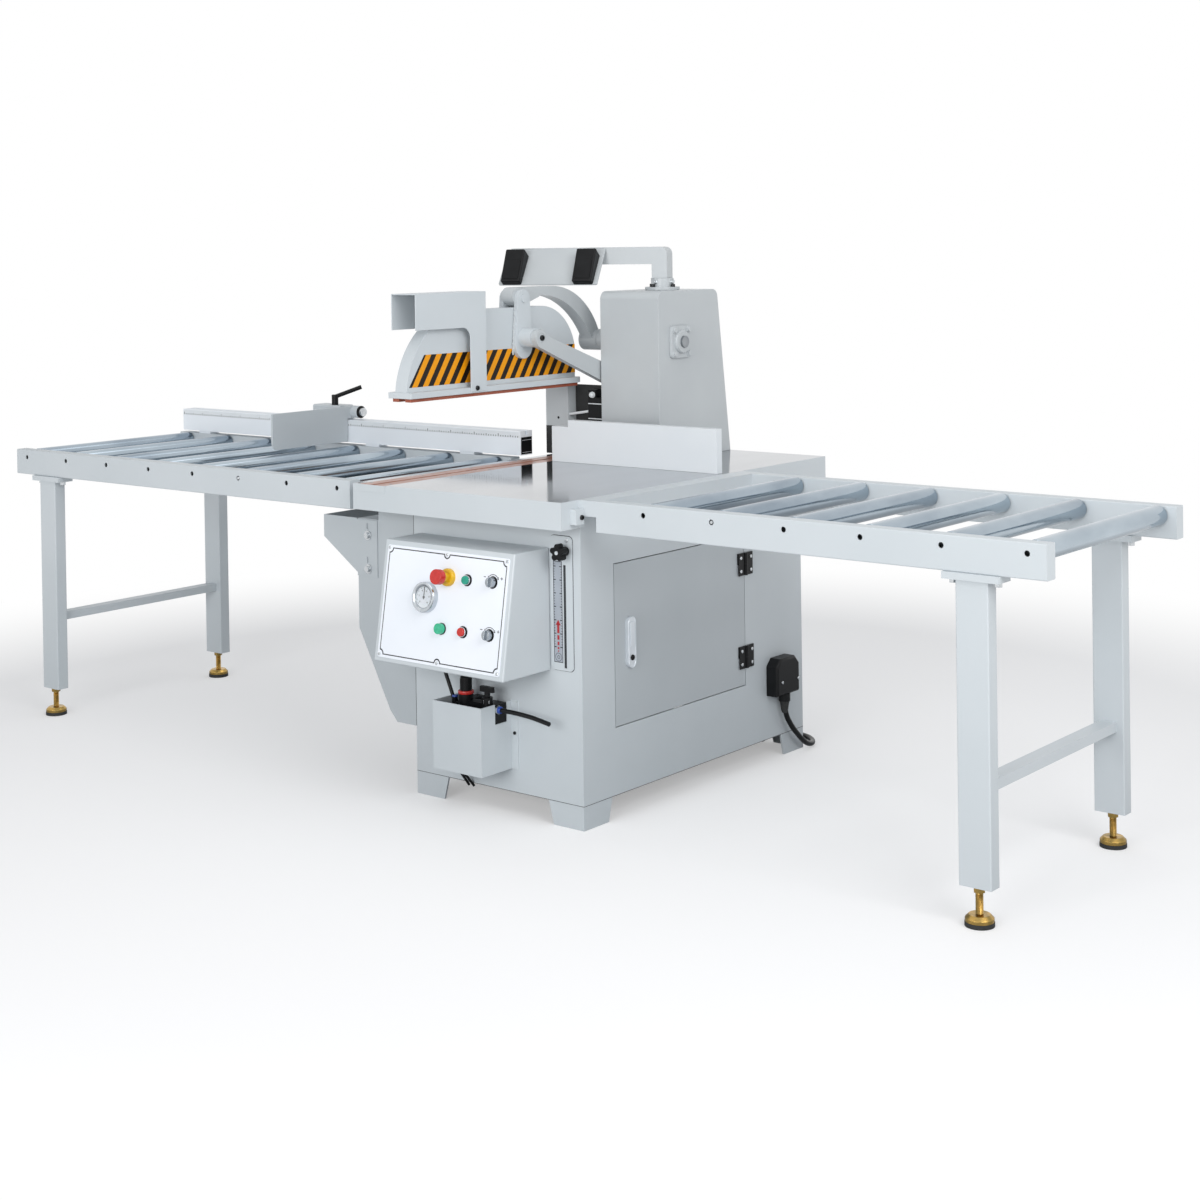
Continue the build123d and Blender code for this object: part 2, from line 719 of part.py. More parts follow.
def machine_table():
    """Flat steel table: plates round the insert, skirts below and ledges that carry the insert."""
    plate_z = (TABLE_TOP - TABLE_PLATE, TABLE_TOP)
    skirt_z = (TABLE_UNDER, TABLE_TOP - TABLE_PLATE)
    insert_back = TABLE_FRONT + INSERT_LENGTH
    inner_x = (TABLE_X0 + SKIRT_WALL, TABLE_X1 - SKIRT_WALL)
    ledge_z = (skirt_z[1] - INSERT_LEDGE, skirt_z[1])
    ledge_y = (TABLE_FRONT + SKIRT_WALL, TABLE_BACK - SKIRT_WALL)
    return [
        block(INSERT_X1, TABLE_X1, TABLE_FRONT, TABLE_BACK, *plate_z),
        block(TABLE_X0, INSERT_X0, TABLE_FRONT, TABLE_BACK, *plate_z),
        block(INSERT_X0, INSERT_X1, insert_back, TABLE_BACK, *plate_z),
        block(TABLE_X0, inner_x[0], TABLE_FRONT, TABLE_BACK, *skirt_z),
        block(inner_x[1], TABLE_X1, TABLE_FRONT, TABLE_BACK, *skirt_z),
        block(*inner_x, TABLE_FRONT, ledge_y[0], *skirt_z),
        block(*inner_x, ledge_y[1], TABLE_BACK, *skirt_z),
        block(inner_x[0], INSERT_X0 + INSERT_LEDGE_WIDTH, *ledge_y, *ledge_z),
        block(INSERT_X1 - INSERT_LEDGE_WIDTH, INSERT_X1 + INSERT_LEDGE_WIDTH, *ledge_y, *ledge_z),
    ]


def table_insert():
    """Two replaceable wear boards, one each side of the blade slot."""
    y = (TABLE_FRONT, TABLE_FRONT + INSERT_LENGTH)
    z = (TABLE_TOP - TABLE_PLATE, TABLE_TOP)
    left = block(INSERT_X0, BLADE_X - BLADE_SLOT / 2, *y, *z)
    right = block(BLADE_X + BLADE_SLOT / 2, INSERT_X1, *y, *z)
    return [left, right]


def cabinet_foot(x_sign, y_sign):
    """A folded corner foot: two tapered plates that meet at the cabinet's corner."""
    x = CAB_X1 if x_sign > 0 else CAB_X0
    y = CAB_BACK if y_sign > 0 else CAB_FRONT
    run_x = [(x, 0), (x - x_sign * FOOT_WIDTH, 0), (x - x_sign * FOOT_TOP_WIDTH, CAB_CLEAR), (x, CAB_CLEAR)]
    inner = y - y_sign * FOOT_SHEET
    across = front_plate(run_x, min(y, inner), max(y, inner))
    run_y = [
        (inner, 0), (y - y_sign * FOOT_WIDTH, 0), (y - y_sign * FOOT_TOP_WIDTH, CAB_CLEAR), (inner, CAB_CLEAR)
    ]
    inner_x = x - x_sign * FOOT_SHEET
    along = side_plate(run_y, min(x, inner_x), max(x, inner_x))
    return [across, along]


DOOR_Y = (CAB_FRONT + DOOR_FRONT, CAB_FRONT + DOOR_FRONT + DOOR_WIDTH)
DOOR_Z = (CAB_CLEAR + DOOR_BELOW, TABLE_UNDER - DOOR_ABOVE)
HINGE_AXIS = (CAB_X1 + HINGE_PIN_R + HINGE_PROUD, DOOR_Y[1])
SPINDLE_WINDOW_Y = (SPINDLE[0] - SPINDLE_HOUSING_D * 0.6, SPINDLE[0] + SPINDLE_HOUSING_D * 0.75)
SPINDLE_WINDOW_Z = SPINDLE_Z - SPINDLE_HOUSING_D * 0.6


def hinge_heights():
    """The middle heights of the two door hinges."""
    margin = HINGE_LENGTH * 1.3
    return (DOOR_Z[0] + margin, DOOR_Z[1] - margin)


def control_box():
    """A closed sheet box with a sloping front, on the cabinet's front."""
    x0 = CAB_X0 + BOX_X0
    outline = [
        (CAB_FRONT, BOX_UNDER), (CAB_FRONT, BOX_TOP),
        (CAB_FRONT - BOX_TOP_Y, BOX_TOP), (CAB_FRONT - BOX_BOTTOM_Y, BOX_UNDER),
    ]
    shell = fillet(side_plate(outline, x0, x0 + BOX_X).edges(), SHEET)
    inset = SHEET * 1.5
    hollow = [
        (CAB_FRONT - inset, BOX_UNDER + inset), (CAB_FRONT - inset, BOX_TOP - inset),
        (CAB_FRONT - BOX_TOP_Y + inset, BOX_TOP - inset),
        (CAB_FRONT - BOX_BOTTOM_Y + inset, BOX_UNDER + inset),
    ]
    return shell - side_plate(hollow, x0 + inset, x0 + BOX_X - inset)


def cabinet():
    """Welded sheet cabinet: four walls, corner feet, base beams, fixed hinge leaves and the control box."""
    z = (CAB_CLEAR, TABLE_UNDER)
    inner_x = (CAB_X0 + SHEET, CAB_X1 - SHEET)
    inner_y = (CAB_FRONT + SHEET, CAB_BACK - SHEET)
    window_z = (SPINDLE_WINDOW_Z, TABLE_UNDER)
    pieces = [
        block(CAB_X0, CAB_X1, CAB_FRONT, inner_y[0], *z),
        block(CAB_X0, CAB_X1, inner_y[1], CAB_BACK, *z),
        block(CAB_X0, inner_x[0], *inner_y, z[0], window_z[0]),
        block(CAB_X0, inner_x[0], inner_y[0], SPINDLE_WINDOW_Y[0], *window_z),
        block(CAB_X0, inner_x[0], SPINDLE_WINDOW_Y[1], inner_y[1], *window_z),
        block(inner_x[1], CAB_X1, *inner_y, z[0], DOOR_Z[0]),
        block(inner_x[1], CAB_X1, *inner_y, DOOR_Z[1], z[1]),
        block(inner_x[1], CAB_X1, inner_y[0], DOOR_Y[0], *DOOR_Z),
        block(inner_x[1], CAB_X1, DOOR_Y[1], inner_y[1], *DOOR_Z),
    ]
    for x_sign in (-1, 1):
        for y_sign in (-1, 1):
            pieces += cabinet_foot(x_sign, y_sign)
    lift_y = SAW_PIVOT[0] - LIFT_FROM_PIVOT
    pieces.append(block(*inner_x, lift_y - BEAM, lift_y + BEAM, z[0], z[0] + BEAM))
    for height in hinge_heights():
        leaf = block(
            CAB_X1, CAB_X1 + SHEET, HINGE_AXIS[1] + HINGE_PIN_R + DOOR_GAP, HINGE_AXIS[1] + HINGE_LEAF,
            height - HINGE_LENGTH / 2, height + HINGE_LENGTH / 2,
        )
        pin_z = (height - HINGE_LENGTH / 2, height)
        knuckle = rod_z(*HINGE_AXIS, *pin_z, HINGE_PIN_R)
        tongue = block(
            CAB_X1, CAB_X1 + SHEET, HINGE_AXIS[1], HINGE_AXIS[1] + HINGE_LEAF, *pin_z
        )
        pieces.append(leaf + tongue + knuckle)
    pieces.append(control_box())
    return pieces


def door_panel():
    """Sheet door on two lift-off hinges, with a long pull handle that carries the lock."""
    y = (DOOR_Y[0] + DOOR_GAP, DOOR_Y[1] - DOOR_GAP)
    z = (DOOR_Z[0] + DOOR_GAP, DOOR_Z[1] - DOOR_GAP)
    pieces = [block(CAB_X1 - SHEET, CAB_X1, *y, *z)]
    for height in hinge_heights():
        pin_z = (height + CURVED_GAP, height + HINGE_LENGTH / 2)
        knuckle = rod_z(*HINGE_AXIS, *pin_z, HINGE_PIN_R)
        leaf = block(
            CAB_X1, CAB_X1 + SHEET, HINGE_AXIS[1] - HINGE_LEAF, HINGE_AXIS[1], *pin_z
        )
        pieces.append(leaf + knuckle)
    pull_y = (DOOR_Y[0] + PULL_Y - PULL_WIDTH / 2, DOOR_Y[0] + PULL_Y + PULL_WIDTH / 2)
    middle = (DOOR_Z[0] + DOOR_Z[1]) / 2
    pull_z = (middle - PULL_HEIGHT / 2, middle + PULL_HEIGHT / 2)
    pull = block(CAB_X1, CAB_X1 + PULL_PROUD, *pull_y, *pull_z)
    pieces.append(fillet(pull.edges().filter_by(Axis.X), PULL_WIDTH / 2 - 1))
    return pieces


CHAMBER_X0 = CAB_X0 - CHAMBER_WIDTH
CHAMBER_Y = (CAB_FRONT + SHEET / 2, CAB_FRONT + SHEET / 2 + CHAMBER_DEPTH)
CHAMBER_TOP = TABLE_TOP - CHAMBER_TOP_DROP
WALL_FOOT = CHAMBER_TOP - CHAMBER_WALL_HEIGHT
SLANT_FOOT = (CHAMBER_X0 + CHAMBER_SLANT_X, WALL_FOOT - CHAMBER_SLANT_Z)
FLOOR_EDGE = (SLANT_FOOT[0] + CHAMBER_FLOOR_INSET, SLANT_FOOT[1] - CHAMBER_FLOOR_DROP)
CHUTE_X0 = CHAMBER_X0 - CHUTE_WIDTH
CHUTE_Y1 = CHAMBER_Y[0] + CHUTE_DEPTH
CHUTE_MOUTH_UNDER = CHAMBER_TOP - CHUTE_DROP


def sloping_wall(first, second, thickness, y0, y1):
    """A flat wall between two (x, z) points, with its thickness inside, to the right of the run down."""
    run = Vector(second[0] - first[0], second[1] - first[1]).normalized()
    inward = Vector(-run.Y, run.X)
    points = [first, second]
    for x, z in (second, first):
        points.append((x + inward.X * thickness, z + inward.Y * thickness))
    return front_plate(points, y0, y1)


def saw_chamber():
    """Sheet chamber round the lower half of the blade, and the bolted chute that takes the offcuts."""
    end_outline = [
        (CAB_X0, TABLE_UNDER), (TABLE_X0, TABLE_UNDER), (TABLE_X0, CHAMBER_TOP), (CHAMBER_X0, CHAMBER_TOP),
        (CHAMBER_X0, WALL_FOOT), SLANT_FOOT, FLOOR_EDGE, (CAB_X0, FLOOR_EDGE[1]),
    ]
    inner_y = (CHAMBER_Y[0] + SHEET, CHAMBER_Y[1] - SHEET)
    pieces = [
        front_plate(end_outline, CHAMBER_Y[0], inner_y[0]),
        front_plate(end_outline, inner_y[1], CHAMBER_Y[1]),
        block(CHAMBER_X0, CHAMBER_X0 + SHEET, *inner_y, WALL_FOOT, CHUTE_MOUTH_UNDER),
        block(CHAMBER_X0, CHAMBER_X0 + SHEET, CHUTE_Y1, inner_y[1], CHUTE_MOUTH_UNDER, CHAMBER_TOP),
        block(CHAMBER_X0 + SHEET, TABLE_X0, *inner_y, CHAMBER_TOP - SHEET, CHAMBER_TOP),
        block(TABLE_X0, TABLE_X0 + SHEET, *inner_y, CHAMBER_TOP - SHEET, TABLE_UNDER),
        sloping_wall((CHAMBER_X0, WALL_FOOT), SLANT_FOOT, SHEET, *inner_y),
        sloping_wall(SLANT_FOOT, FLOOR_EDGE, SHEET, *inner_y),
        block(*sorted((FLOOR_EDGE[0] + SHEET, CAB_X0)), *inner_y, FLOOR_EDGE[1], FLOOR_EDGE[1] + SHEET),
    ]
    chute_wall_foot = CHAMBER_TOP - CHUTE_WALL
    plate_y = (CHAMBER_Y[0] - CHUTE_SHEET, CHAMBER_Y[0])
    flange_z = (CHUTE_MOUTH_UNDER - CHUTE_SHEET * 3, CHAMBER_TOP - CHUTE_SHEET)
    ear = [
        (CHUTE_X0, CHAMBER_TOP), (CHUTE_X0, chute_wall_foot), (CHAMBER_X0, CHUTE_MOUTH_UNDER),
        (CHAMBER_X0, CHAMBER_TOP),
    ]
    flange = block(CHAMBER_X0, CHAMBER_X0 + CHUTE_FLANGE, *plate_y, *flange_z)
    for z in chute_bolt_heights():
        flange -= rod_y(CHUTE_BOLT_X, *plate_y, z, BOLT_D / 2)
        slot_z = (z + BOLT_HEAD, z + 2 * BOLT_HEAD)
        flange -= block(CHUTE_BOLT_X - BOLT_D / 2, CHUTE_BOLT_X + BOLT_D / 2, *plate_y, *slot_z)
    wall_y = (CHAMBER_Y[0], CHUTE_Y1 - CHUTE_SHEET)
    wall = block(CHUTE_X0, CHUTE_X0 + CHUTE_SHEET, *wall_y, chute_wall_foot, CHAMBER_TOP)
    slope = sloping_wall((CHUTE_X0, chute_wall_foot), (CHAMBER_X0, CHUTE_MOUTH_UNDER), CHUTE_SHEET, *wall_y)
    pieces += [
        front_plate(ear, *plate_y) + flange,
        wall,
        slope,
        front_plate(ear, CHUTE_Y1 - CHUTE_SHEET, CHUTE_Y1),
    ]
    return pieces


CHUTE_BOLT_X = CHAMBER_X0 + CHUTE_FLANGE * 0.55


def chute_bolt_heights():
    return (CHAMBER_TOP - CHUTE_BOLT_DROP, CHAMBER_TOP - CHUTE_BOLT_DROP - CHUTE_BOLT_PITCH)


def fasteners():
    """Hexagon bolts of the leg plates and washered bolts of the chute."""
    pieces = []
    for leg_x, y in leg_places():
        for x in bolt_places(leg_x):
            bolt = hex_bar_z(x, y, LEG_TOP - BOLT_HEAD_T, LEG_TOP, BOLT_HEAD)
            pieces.append(bolt + rod_z(x, y, LEG_TOP, RAIL_UNDER, BOLT_D / 2 - RUNNING_GAP))
    plate_face = CHAMBER_Y[0] - CHUTE_SHEET
    washer_face = plate_face - WASHER_T
    for z in chute_bolt_heights():
        washer = rod_y(CHUTE_BOLT_X, washer_face, plate_face, z, BOLT_HEAD * 0.8)
        head = rod_y(CHUTE_BOLT_X, washer_face - CHUTE_HEAD_T, washer_face, z, BOLT_HEAD / 2)
        shank = rod_y(CHUTE_BOLT_X, plate_face, CHAMBER_Y[0], z, BOLT_D / 2 - RUNNING_GAP)
        pieces.append(washer + head + shank)
    return pieces


def right_fence():
    """Upright steel fence plate with a notch that clears the hood."""
    x0 = BLADE_X + RIGHT_FENCE_START
    plate = block(x0, CAB_X1, FENCE_Y, FENCE_Y + RIGHT_FENCE_T, TABLE_TOP, TABLE_TOP + RIGHT_FENCE_H)
    top = TABLE_TOP + RIGHT_FENCE_H
    notch = block(
        x0, x0 + FENCE_NOTCH_X, FENCE_Y, FENCE_Y + RIGHT_FENCE_T, top - FENCE_NOTCH_Z, top
    )
    return [plate - notch]


LEFT_FENCE_X = (LEFT_X0 + LEFT_FENCE_INSET, LEFT_X1 + LEFT_FENCE_END)
LEFT_FENCE_Z = (TABLE_TOP + LEFT_FENCE_LIFT, TABLE_TOP + LEFT_FENCE_LIFT + LEFT_FENCE_H)
FENCE_MIDDLE = FENCE_Y + LEFT_FENCE_T / 2


def left_fence():
    """Hollow aluminium fence with a groove along its top, on packing blocks over the rear rail."""
    wall = LEFT_FENCE_WALL
    y1 = FENCE_Y + LEFT_FENCE_T
    bar = block(*LEFT_FENCE_X, FENCE_Y, y1, *LEFT_FENCE_Z)
    chamber_z = (LEFT_FENCE_Z[0] + wall, LEFT_FENCE_Z[0] + LEFT_FENCE_CHAMBER)
    lower = block(*LEFT_FENCE_X, FENCE_Y + wall, y1 - wall, *chamber_z)
    groove = block(
        *LEFT_FENCE_X, FENCE_MIDDLE - GROOVE_W / 2, FENCE_MIDDLE + GROOVE_W / 2,
        LEFT_FENCE_Z[1] - GROOVE_DEEP, LEFT_FENCE_Z[1],
    )
    pieces = [bar - lower - groove]
    rail_y = (LEFT_RAIL_BACK, LEFT_RAIL_BACK + RAIL_WIDTH)
    for x in LEFT_PLACES[::2]:
        start = x + ROLLER_D
        pieces.append(block(start, start + FENCE_PACKING_X, *rail_y, TABLE_TOP, LEFT_FENCE_Z[0]))
    return pieces


CARRIAGE_Z = (LEFT_FENCE_Z[1] + CURVED_GAP, LEFT_FENCE_Z[1] + CURVED_GAP + CARRIAGE_H)
CARRIAGE_X0 = STOP_X - CARRIAGE_X / 2
CARRIAGE_X1 = STOP_X + CARRIAGE_X / 2
STOP_AXIS = (FENCE_MIDDLE, CARRIAGE_Z[0] + CARRIAGE_H * 0.55)
BARREL_X = (CARRIAGE_X1 + CURVED_GAP, CARRIAGE_X1 + CURVED_GAP + STOP_BARREL_X)
LEVER_PLACE = (CARRIAGE_X1 - LEVER_FROM_END, FENCE_Y + LEVER_FROM_FACE)


def stop_carriage():
    """Sliding block on the fence, keyed into its groove, with the flip stop's hinge pin."""
    y = (FENCE_Y - CARRIAGE_OVER, FENCE_Y + LEFT_FENCE_T + CARRIAGE_OVER)
    body = block(CARRIAGE_X0, CARRIAGE_X1, *y, *CARRIAGE_Z)
    top_edges = body.edges().filter_by(Axis.X).sort_by(Axis.Z)[-2:]
    body = fillet(top_edges, CARRIAGE_ROUND)
    half_key = GROOVE_W / 2 - CURVED_GAP
    key = block(
        CARRIAGE_X0, CARRIAGE_X1, FENCE_MIDDLE - half_key, FENCE_MIDDLE + half_key,
        CARRIAGE_Z[0] - GROOVE_DEEP + 1, CARRIAGE_Z[0],
    )
    nut_x = (BARREL_X[1] + CURVED_GAP, BARREL_X[1] + STOP_NUT_X)
    pin = rod_x(CARRIAGE_X1, nut_x[0], STOP_AXIS, STOP_PIN_D / 2)
    nut = rod_x(*nut_x, STOP_AXIS, STOP_PIN_D * 0.9)
    return [body + key + pin + nut]


def stop_plate():
    """Flip-up stop: a barrel on the hinge pin and the plate that the work meets."""
    middle = (BARREL_X[0] + BARREL_X[1]) / 2
    x = (middle - STOP_PLATE_T / 2, middle + STOP_PLATE_T / 2)
    back = FENCE_Y - CARRIAGE_OVER
    front = FENCE_Y - STOP_REACH
    under = TABLE_TOP + STOP_PLATE_LIFT
    top = under + STOP_PLATE_H
    neck = LEFT_FENCE_Z[1] + CARRIAGE_OVER
    axis_y = STOP_AXIS[0]
    outline = [(front, under), (back, under), (back, neck), (axis_y, neck), (axis_y, top), (front, top)]
    plate = side_plate(outline, *x)
    lower_front = plate.edges().filter_by(Axis.X).group_by(Axis.Y)[0].sort_by(Axis.Z)
    plate = fillet(lower_front[0], STOP_CORNER_R)
    barrel = rod_x(*BARREL_X, STOP_AXIS, STOP_BARREL_D / 2)
    bore = rod_x(*BARREL_X, STOP_AXIS, STOP_PIN_D / 2 + RUNNING_GAP)
    return [plate + barrel - bore]


def clamp_lever():
    """Clamping lever of the carriage: a round hub and a raised handle."""
    hub_z = (CARRIAGE_Z[1] + CURVED_GAP, CARRIAGE_Z[1] + LEVER_HUB_Z)
    hub = rod_z(*LEVER_PLACE, *hub_z, LEVER_HUB_D / 2)
    heading = math.radians(LEVER_HEADING)
    reach = Vector(LEVER_REACH * math.cos(heading), LEVER_REACH * math.sin(heading), LEVER_RISE)
    root = Vector(*LEVER_PLACE, hub_z[1] - LEVER_D / 2)
    handle = extrude(Plane(root, z_dir=reach) * Circle(LEVER_D / 2), reach.length)
    return [hub + handle]


def column():
    """Welded column with its pivot bearings, the fixed pivot stud, the swivel socket and the rear guard."""
    front, top = COLUMN_Y0, COLUMN_TOP
    outline = [
        (front, TABLE_TOP), (front + COLUMN_FOOT_Y, TABLE_TOP), (front + COLUMN_TOP_Y, top), (front, top)
    ]
    body = side_plate(outline, COLUMN_X0, COLUMN_X1)
    top_edges = body.edges().filter_by(Axis.X).group_by(Axis.Z)[-1]
    body = fillet(top_edges, COLUMN_ROUND)
    wall = COLUMN_WALL
    lean = (COLUMN_FOOT_Y - COLUMN_TOP_Y) / COLUMN_H
    hollow = [
        (front + wall, TABLE_TOP), (front + COLUMN_FOOT_Y - wall, TABLE_TOP),
        (front + COLUMN_FOOT_Y - wall - lean * (COLUMN_H - COLUMN_ROUND), top - COLUMN_ROUND),
        (front + wall, top - COLUMN_ROUND),
    ]
    body -= side_plate(hollow, COLUMN_X0 + wall, COLUMN_X1 - wall)
    body -= rod_x(COLUMN_X0, COLUMN_X1, PIVOT, SHAFT_D / 2 + 1)
    bore = SHAFT_D / 2 + RUNNING_GAP
    left_x = (COLUMN_X0 - BEARING_X, COLUMN_X0)
    housing = rod_x(*left_x, PIVOT, BEARING_D / 2) - rod_x(*left_x, PIVOT, bore)
    right_x = (COLUMN_X1, COLUMN_X1 + FLANGE_BEARING_T)
    nose_x = (right_x[1], right_x[1] + FLANGE_BEARING_NOSE)
    half = FLANGE_BEARING / 2
    flange = block(
        *right_x, PIVOT[0] - half, PIVOT[0] + half, PIVOT[1] - half, PIVOT[1] + half
    )
    flange = fillet(flange.edges().filter_by(Axis.X), FLANGE_BEARING_ROUND)
    flange += rod_x(*nose_x, PIVOT, BEARING_D / 2)
    flange -= rod_x(right_x[0], nose_x[1], PIVOT, bore)
    stud_x = COLUMN_X0 - ARM_COLUMN_GAP - LOWER_HUB_X - CURVED_GAP
    stud = rod_x(stud_x, COLUMN_X0, LINK_PIVOT, STUD_D / 2)
    cap = rod_x(stud_x - STUD_CAP, stud_x, LINK_PIVOT, STUD_D * 0.7)
    shoulder = rod_x(COLUMN_X0 - ARM_COLUMN_GAP + CURVED_GAP, COLUMN_X0, LINK_PIVOT, STUD_D * 0.9)
    socket = rod_z(*SWIVEL, top, top + SWIVEL_FLANGE_Z, SWIVEL_FLANGE_D / 2)
    socket += rod_z(*SWIVEL, top, top + SWIVEL_COLLAR_Z, SWIVEL_COLLAR_D / 2)
    socket -= rod_z(*SWIVEL, top, top + SWIVEL_COLLAR_Z, SPIGOT_D / 2 + RUNNING_GAP)
    guard_x = (TABLE_X0 - GUARD_OVERHANG, TABLE_X0 - GUARD_OVERHANG + GUARD_X)
    guard_y = (COLUMN_Y0, COLUMN_Y0 + GUARD_SHEET)
    guard_z = (TABLE_TOP, TABLE_TOP + GUARD_Z)
    guard = block(*guard_x, *guard_y, *guard_z)
    guard_side = block(guard_x[1] - GUARD_SHEET, guard_x[1], guard_y[1], guard_y[0] + GUARD_Y, *guard_z)
    return [body, housing, flange, stud + cap + shoulder, socket, guard, guard_side]


SWIVEL = (
    (COLUMN_X0 + COLUMN_X1) / 2 + SWIVEL_OFF_X,
    COLUMN_Y0 + COLUMN_TOP_Y / 2 + SWIVEL_OFF_Y,
)
HUB_X0 = COLUMN_X0 - BEARING_X - CURVED_GAP - HUB_X
HUB_X1 = COLUMN_X0 - BEARING_X - CURVED_GAP
LUG_X = HOOD_WIDTH / 2 + LUG_T
LOWER_ARM_X1 = COLUMN_X0 - ARM_COLUMN_GAP
LOWER_ARM_X0 = LOWER_ARM_X1 - LOWER_ARM_X


def upper_arm():
    """Swan-neck arm from the pivot hub over to the hood's eye, keyed on its shaft and crank."""
    outer = (EYE[0] + ARCH_OUTER_Y, PIVOT[1] - ARCH_OUTER_DROP)
    inner = (EYE[0] + ARCH_INNER_Y, PIVOT[1] - ARCH_INNER_DROP)
    neck = (EYE[0] + NECK_Y, EYE[1] + NECK_RISE)
    x = (BLADE_X - HOOD_WIDTH / 2 + CURVED_GAP, BLADE_X + HOOD_WIDTH / 2 - CURVED_GAP)
    arch = rod_x(*x, outer, ARCH_OUTER_R) - rod_x(*x, inner, ARCH_INNER_R)
    hub_y, above = PIVOT[0] + HUB_D / 2, outer[1] + ARCH_OUTER_R + 1
    wedge = [
        (neck[0], EYE[1]), (PIVOT[0] - HUB_D / 4, PIVOT[1] - HUB_D / 4),
        (hub_y, PIVOT[1]), (hub_y, above), (neck[0], above),
    ]
    arm = (arch & side_plate(wedge, *x)) + strap_x(EYE, EYE_D / 2, neck, NECK_R, *x)
    shoulder_z = EYE[1] + SHOULDER_RISE
    shoulder = ((EYE[0] - SHOULDER_FRONT, shoulder_z), (EYE[0] + SHOULDER_Y, shoulder_z))
    crown = strap_x(shoulder[0], SHOULDER_R, shoulder[1], SHOULDER_R, *x)
    arm += crown - rod_x(*x, inner, ARCH_INNER_R)
    arm += rod_x(HUB_X0, HUB_X1, PIVOT, HUB_D / 2)
    arm -= rod_x(*x, EYE, PIN_D / 2 + RUNNING_GAP)
    return [arm - rod_x(HUB_X0, HUB_X1, PIVOT, SHAFT_D / 2)] + pivot_shaft()


def crank_pin_place():
    """The press rod's pin at rest, below the pivot's level by half of the swing."""
    return (PIVOT[0] + CRANK_R, PIVOT[1] - CRANK_R * math.tan(ARM_SWING / 2))


def pivot_shaft():
    """Shaft through the column, and the slotted crank that the press cylinder turns."""
    shaft = rod_x(HUB_X0, COLUMN_X1 + SHAFT_OVERHANG, PIVOT, SHAFT_D / 2)
    middle = (COLUMN_X0 + COLUMN_X1) / 2
    x = (middle - CRANK_T / 2, middle + CRANK_T / 2)
    pin = crank_pin_place()
    slot_half = CRANK_PIN_D / 2 + SLOT_PLAY
    crank = strap_x(PIVOT, SHAFT_D * 0.9, pin, CRANK_EYE_R, *x)
    heading = Vector(pin[0] - PIVOT[0], pin[1] - PIVOT[1]).normalized()
    inner = (pin[0] - heading.X * slot_half, pin[1] - heading.Y * slot_half)
    outer = (pin[0] + heading.X * slot_half, pin[1] + heading.Y * slot_half)
    slot = strap_x(inner, slot_half, outer, slot_half, *x)
    return [shaft, crank - slot - rod_x(*x, PIVOT, SHAFT_D / 2)]


def press_rod():
    """Piston rod of the hood's cylinder, with a fork and a cross pin in the crank's slot."""
    return [lift_fork((COLUMN_X0 + COLUMN_X1) / 2, crank_pin_place(), CRANK_EYE_R, press_rod_foot())]


def press_rod_foot():
    return TABLE_TOP + PRESS_ROD_START


def lift_fork(x, pin, plate_half_z, foot_z):
    """A piston rod that ends in a fork round a slotted plate, with its cross pin."""
    gap = CRANK_T / 2 + CURVED_GAP * 2
    outside = gap + FORK_CHEEK
    y = (pin[0] - FORK_HALF_Y, pin[0] + FORK_HALF_Y)
    top = pin[1] + CRANK_PIN_D * 1.4
    base = pin[1] - plate_half_z - FORK_ROOM - FORK_CHEEK
    fork = block(x - outside, x + outside, *y, base, top)
    fork -= block(x - gap, x + gap, *y, base + FORK_CHEEK, top)
    fork += rod_x(x - outside, x + outside, pin, CRANK_PIN_D / 2)
    return fork + rod_z(x, pin[0], foot_z, base, ROD_D / 2)


def cylinder_body(x, y, z0, z1, bore_z):
    """An air cylinder standing on its foot, with the rod's bore open at the top."""
    square = CYLINDER_SQUARE / 2
    plan = (x - square, x + square, y - square, y + square)
    foot = block(*plan, z0, z0 + CYLINDER_FOOT_Z)
    head = block(*plan, z1 - CYLINDER_HEAD_Z, z1)
    body = foot + head + rod_z(x, y, z0, z1, CYLINDER_D / 2)
    return body - rod_z(x, y, bore_z, z1, ROD_D / 2 + RUNNING_GAP)


def lift_pin_place():
    return (SAW_PIVOT[0] - LIFT_FROM_PIVOT, SAW_PIVOT[1] - LIFT_FROM_PIVOT * math.tan(SAW_HALF_SWING))


LIFT_X = CAB_X0 + LIFT_FROM_SIDE


def saw_rod_foot():
    return CAB_CLEAR + BEAM + LIFT_ROD_START


def air_cylinders():
    """The press cylinder inside the column and the lifting cylinder under the saw arm."""
    press_place = ((COLUMN_X0 + COLUMN_X1) / 2, crank_pin_place()[0])
    press_z = (TABLE_TOP, TABLE_TOP + PRESS_BODY_Z)
    press = cylinder_body(*press_place, *press_z, press_rod_foot() - ROD_END_ROOM)
    lift_z = (CAB_CLEAR + BEAM, CAB_CLEAR + BEAM + LIFT_BODY_Z)
    lift = cylinder_body(LIFT_X, lift_pin_place()[0], *lift_z, saw_rod_foot() - ROD_END_ROOM)
    return [press, lift]


def saw_rod():
    """Piston rod that lifts the saw arm through a fork and a cross pin."""
    return [lift_fork(LIFT_X, lift_pin_place(), ARM_BEAM_Z / 2, saw_rod_foot())]


